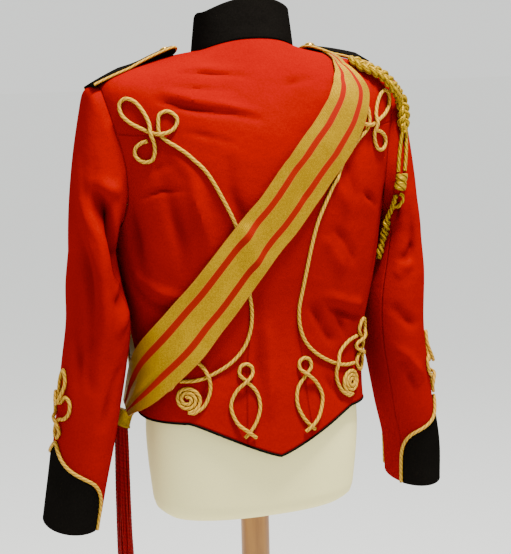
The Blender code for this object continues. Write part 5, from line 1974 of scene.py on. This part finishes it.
@dataclass
class Aiguillette:
    """The plaited cord on the right shoulder, with its whippings, its knotted chain and its loop."""

    stitch: float = 11.0
    swing: float = 6.4
    rise: float = 2.3
    strand: float = 3.9
    single: float = 2.7
    beside: float = 3.6
    knot_turn: float = 17.0

    def add(self, node: str, strands: list[Strand]) -> None:
        """Builds one piece of it from its cords, in place of a CAD node."""
        Cords(f"{node}_cord", Finish.AIGUILLETTE, Slot.AIGUILLETTE, (node,), strands).build()

    def plait(self) -> list[Strand]:
        """The three strands that cross over one another in turn.

        Returns:
            The strands.
        """
        line, _ = roped(PLAIT)
        _, across, out = line.frames()
        lengths = line.lengths
        ends = np.clip(np.minimum(lengths, lengths[-1] - lengths) / 9, 0.35, 1)
        strands = []
        for k in range(3):
            turn = 2 * math.pi * (lengths / (3 * self.stitch) + k / 3)
            aside, rise = self.swing * np.sin(turn) * ends, self.rise * np.sin(2 * turn) * ends
            points = line.points + (across * aside[:, None] + out * rise[:, None]) * MM
            radius = self.strand * (0.8 + 0.2 * ends)
            strands.append(Strand(Line(points, line.outs), radius, 4, 13, 0.20, 14, 1.0))
        return strands

    def chain(self) -> list[Strand]:
        """Two cords wound round each other into a row of knots.

        Returns:
            The cords.
        """
        line, radius = roped(CHAIN)
        _, across, out = line.frames()
        turn = 2 * math.pi * line.lengths / self.knot_turn
        reach = np.maximum((radius - 2.0) * 1.3, 0.8)
        strands = []
        for k in (0, 1):
            aside, rise = reach * np.cos(turn + math.pi * k), reach * np.sin(turn + math.pi * k)
            points = line.points + (across * aside[:, None] + out * rise[:, None]) * MM
            strands.append(Strand(Line(points, line.outs), self.single, 3, 8, 0.12, 10, 1.0))
        return strands

    def wrapping(self) -> list[Strand]:
        """The two whippings over the cords.

        Returns:
            Both, as one.
        """
        line, radius = roped(WRAP)
        ridge = np.abs(np.sin(line.lengths * math.pi / 1.7))
        return [Strand(line, radius * (0.90 + 0.10 * ridge), depth=0, sides=20, size=0.35, wide=1.35)]

    def build(self) -> None:
        """Builds the whole aiguillette."""
        self.add("aiguillette_plait", self.plait())
        self.add("aiguillette_wrap", self.wrapping())
        self.add("aiguillette_chain", self.chain())
        end, _ = roped(PLAIT)
        run, across, _ = end.frames()
        for name, rows in PLAIT_CORDS.items():
            line, _ = roped(rows)
            aside = self.beside if name == "back" else -self.beside
            start = end.points[-1] + (run[-1] * -3 + across[-1] * aside) * MM
            points = np.concatenate([start[None], line.points])
            outs = np.concatenate([end.outs[-1:], line.outs])
            self.add(f"aiguillette_cord_{name}", [Strand(Line(points, outs), self.single, 3, 9, 0.2)])
        for name, rows in (("loop", LOOP), ("front_cord", FRONT_CORD)):
            line, _ = roped(rows)
            self.add(f"aiguillette_{name}", [Strand(line, self.single, 3, 9, 0.2)])


@dataclass
class DressForm:
    """The limbless form, its pole and its base.

    Its room is how much further in the form stands at a drop, so that deep creases clear it.
    """

    end: float = 648.0
    room: tuple[tuple[float, ...], tuple[float, ...]] = ((0, 30, 470, 540), (0, 5, 5, 0))
    neck_rings: tuple[float, ...] = (21.0, 20.4, 19.2, 18.0, 12.0, 6.0, 0.0)
    pole_radius: float = 20.0
    base_radius: float = 195.0
    base_height: float = 28.0
    base_edge: float = 6.0

    def build_torso(self) -> None:
        """Builds the form, from its rounded lower edge to its short neck."""
        eases = table(FORM_EASE)
        angles = np.arange(-90, 270, 2.5)
        rings = []
        neck = FormNeck(1, 1)
        for up in self.neck_rings:
            rings.append(neck.at(angles, np.full(angles.shape, -up)))
        for down in [*steps(8, 600, 9), *steps(606, self.end, 5)]:
            off = CLOTH_WALL + float(np.interp(down, eases[:, 0], eases[:, 1]) + np.interp(down, *self.room))
            rings.append(Body(1, 1).place(angles, np.full(angles.shape, down), -off))
        bm = bmesh.new()
        skin(bm, np.array(rings))
        Piece("form", Finish.FORM, Slot.FORM, ("torso_form",)).add(bm, 50)

    def build_stand(self) -> None:
        """Builds the pole and the base."""
        top = NAPE_HEIGHT / MM - self.end - SEAM_GAP
        low = self.base_height + SEAM_GAP
        thick, wide, high, bevel = self.pole_radius, self.base_radius, self.base_height, self.base_edge
        edge = bevel * (1 - math.cos(math.pi / 4))
        pole = [(thick - 0.5, low), (thick, low + 0.5), (thick, (low + top) / 2), (thick, top)]
        base = [
            (wide - bevel, 0.0), (wide - edge, edge), (wide, bevel), (wide, high - bevel), (wide - edge, high - edge),
            (wide - bevel, high), (wide * 0.4, high), (5.0, high),
        ]
        up = np.array([0.0, 0.0, 1.0])
        Turned("pole_wood", Finish.WOOD, Slot.WOOD, ("pole",), np.zeros(3), up, pole, 40).build()
        Turned("base_wood", Finish.WOOD, Slot.WOOD, ("base",), np.zeros(3), up, base, 96).build()

    def build(self) -> None:
        """Builds the form and its stand."""
        self.build_torso()
        self.build_stand()


@dataclass(frozen=True)
class Lamp:
    """A soft square lamp."""

    name: str
    azimuth: float
    elevation: float
    distance: float
    size: float
    power: float
    colour: Rgb = (1.0, 1.0, 1.0)

    def build(self, aim: Vector) -> bpy.types.Object:
        """Hangs the lamp.

        Args:
            aim: what it points at.
        Returns:
            The lamp.
        """
        a, e = math.radians(self.azimuth), math.radians(self.elevation)
        back = Vector((math.sin(a) * math.cos(e), -math.cos(a) * math.cos(e), math.sin(e)))
        data = bpy.data.lights.new(self.name, "AREA")
        data.energy, data.size, data.color = self.power, self.size, self.colour
        lamp = bpy.data.objects.new(self.name, data)
        lamp.location = aim + back * self.distance
        lamp.rotation_euler = back.to_track_quat("Z", "Y").to_euler()
        bpy.context.scene.collection.objects.link(lamp)
        return lamp


@dataclass
class Studio:
    """The pale floor, the lamps and the camera."""

    aim: Vector = field(default_factory=lambda: Vector((-0.0079, 0.0031, NAPE_HEIGHT - 0.327)))
    eye: Vector = field(default_factory=lambda: Vector((0.7523, 1.9329, NAPE_HEIGHT + 0.0015)))
    roll: float = 1.3
    lens: float = 65.92
    sensor: float = 24.0
    clip: tuple[float, float] = (0.05, 100.0)
    floor: Rgb = (0.96, 0.965, 0.955)
    floor_size: float = 40.0
    sky: Rgb = (0.93, 0.945, 0.92)
    sky_strength: float = 1.2
    lamps: tuple[Lamp, ...] = (
        Lamp("key", 198, 70, 2.2, 0.45, 135, (1.0, 0.97, 0.92)),
        Lamp("front", -20, 40, 3.0, 1.8, 26),
    )

    def build_floor(self) -> None:
        """Builds the floor and the even light all round."""
        g = Graph("pale floor")
        g.set(Base_Color=self.floor, Roughness=1.0, Specular_IOR_Level=0.0)
        bm = bmesh.new()
        bmesh.ops.create_grid(bm, x_segments=1, y_segments=1, size=self.floor_size)
        mesh = bpy.data.meshes.new("floor")
        bm.to_mesh(mesh)
        bm.free()
        mesh.materials.append(g.material)
        floor = bpy.data.objects.new("floor", mesh)
        bpy.context.scene.collection.objects.link(floor)
        world = bpy.data.worlds.new("studio")
        world.use_nodes = True
        sky = world.node_tree.nodes["Background"]
        sky.inputs["Color"].default_value = (*self.sky, 1)
        sky.inputs["Strength"].default_value = self.sky_strength
        bpy.context.scene.world = world

    def build_lamps(self) -> None:
        """Hangs the lamps."""
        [lamp.build(self.aim) for lamp in self.lamps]

    def build_camera(self) -> None:
        """Sets up the camera."""
        back = (self.eye - self.aim).normalized()
        right = Vector((0, 0, 1)).cross(back).normalized()
        up = back.cross(right)
        r = math.radians(self.roll)
        x, y = right * math.cos(r) - up * math.sin(r), up * math.cos(r) + right * math.sin(r)
        data = bpy.data.cameras.new("camera")
        data.sensor_width, data.lens = self.sensor, self.lens
        data.clip_start, data.clip_end = self.clip
        camera = bpy.data.objects.new("camera", data)
        camera.matrix_world = Matrix.Translation(self.eye) @ Matrix((x, y, back)).transposed().to_4x4()
        bpy.context.scene.collection.objects.link(camera)
        bpy.context.scene.camera = camera

    def build(self) -> None:
        """Sets up the whole studio."""
        self.build_floor()
        self.build_lamps()
        self.build_camera()


def main() -> None:
    """Builds every piece in order."""
    logging.basicConfig(level=logging.INFO, format="%(message)s")
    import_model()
    DressForm().build()
    coat = Coat()
    coat.build()
    for name, side in SIDES:
        Arm(name, side).build()
        BackCord(name, coat.faces[name]).build()
        ShoulderStrap(name, side).build()
    Sash().build()
    keeper = Keeper()
    keeper.build()
    Tassel(keeper).build()
    Aiguillette().build()
    Studio().build()


if __name__ == "__main__":
    main()
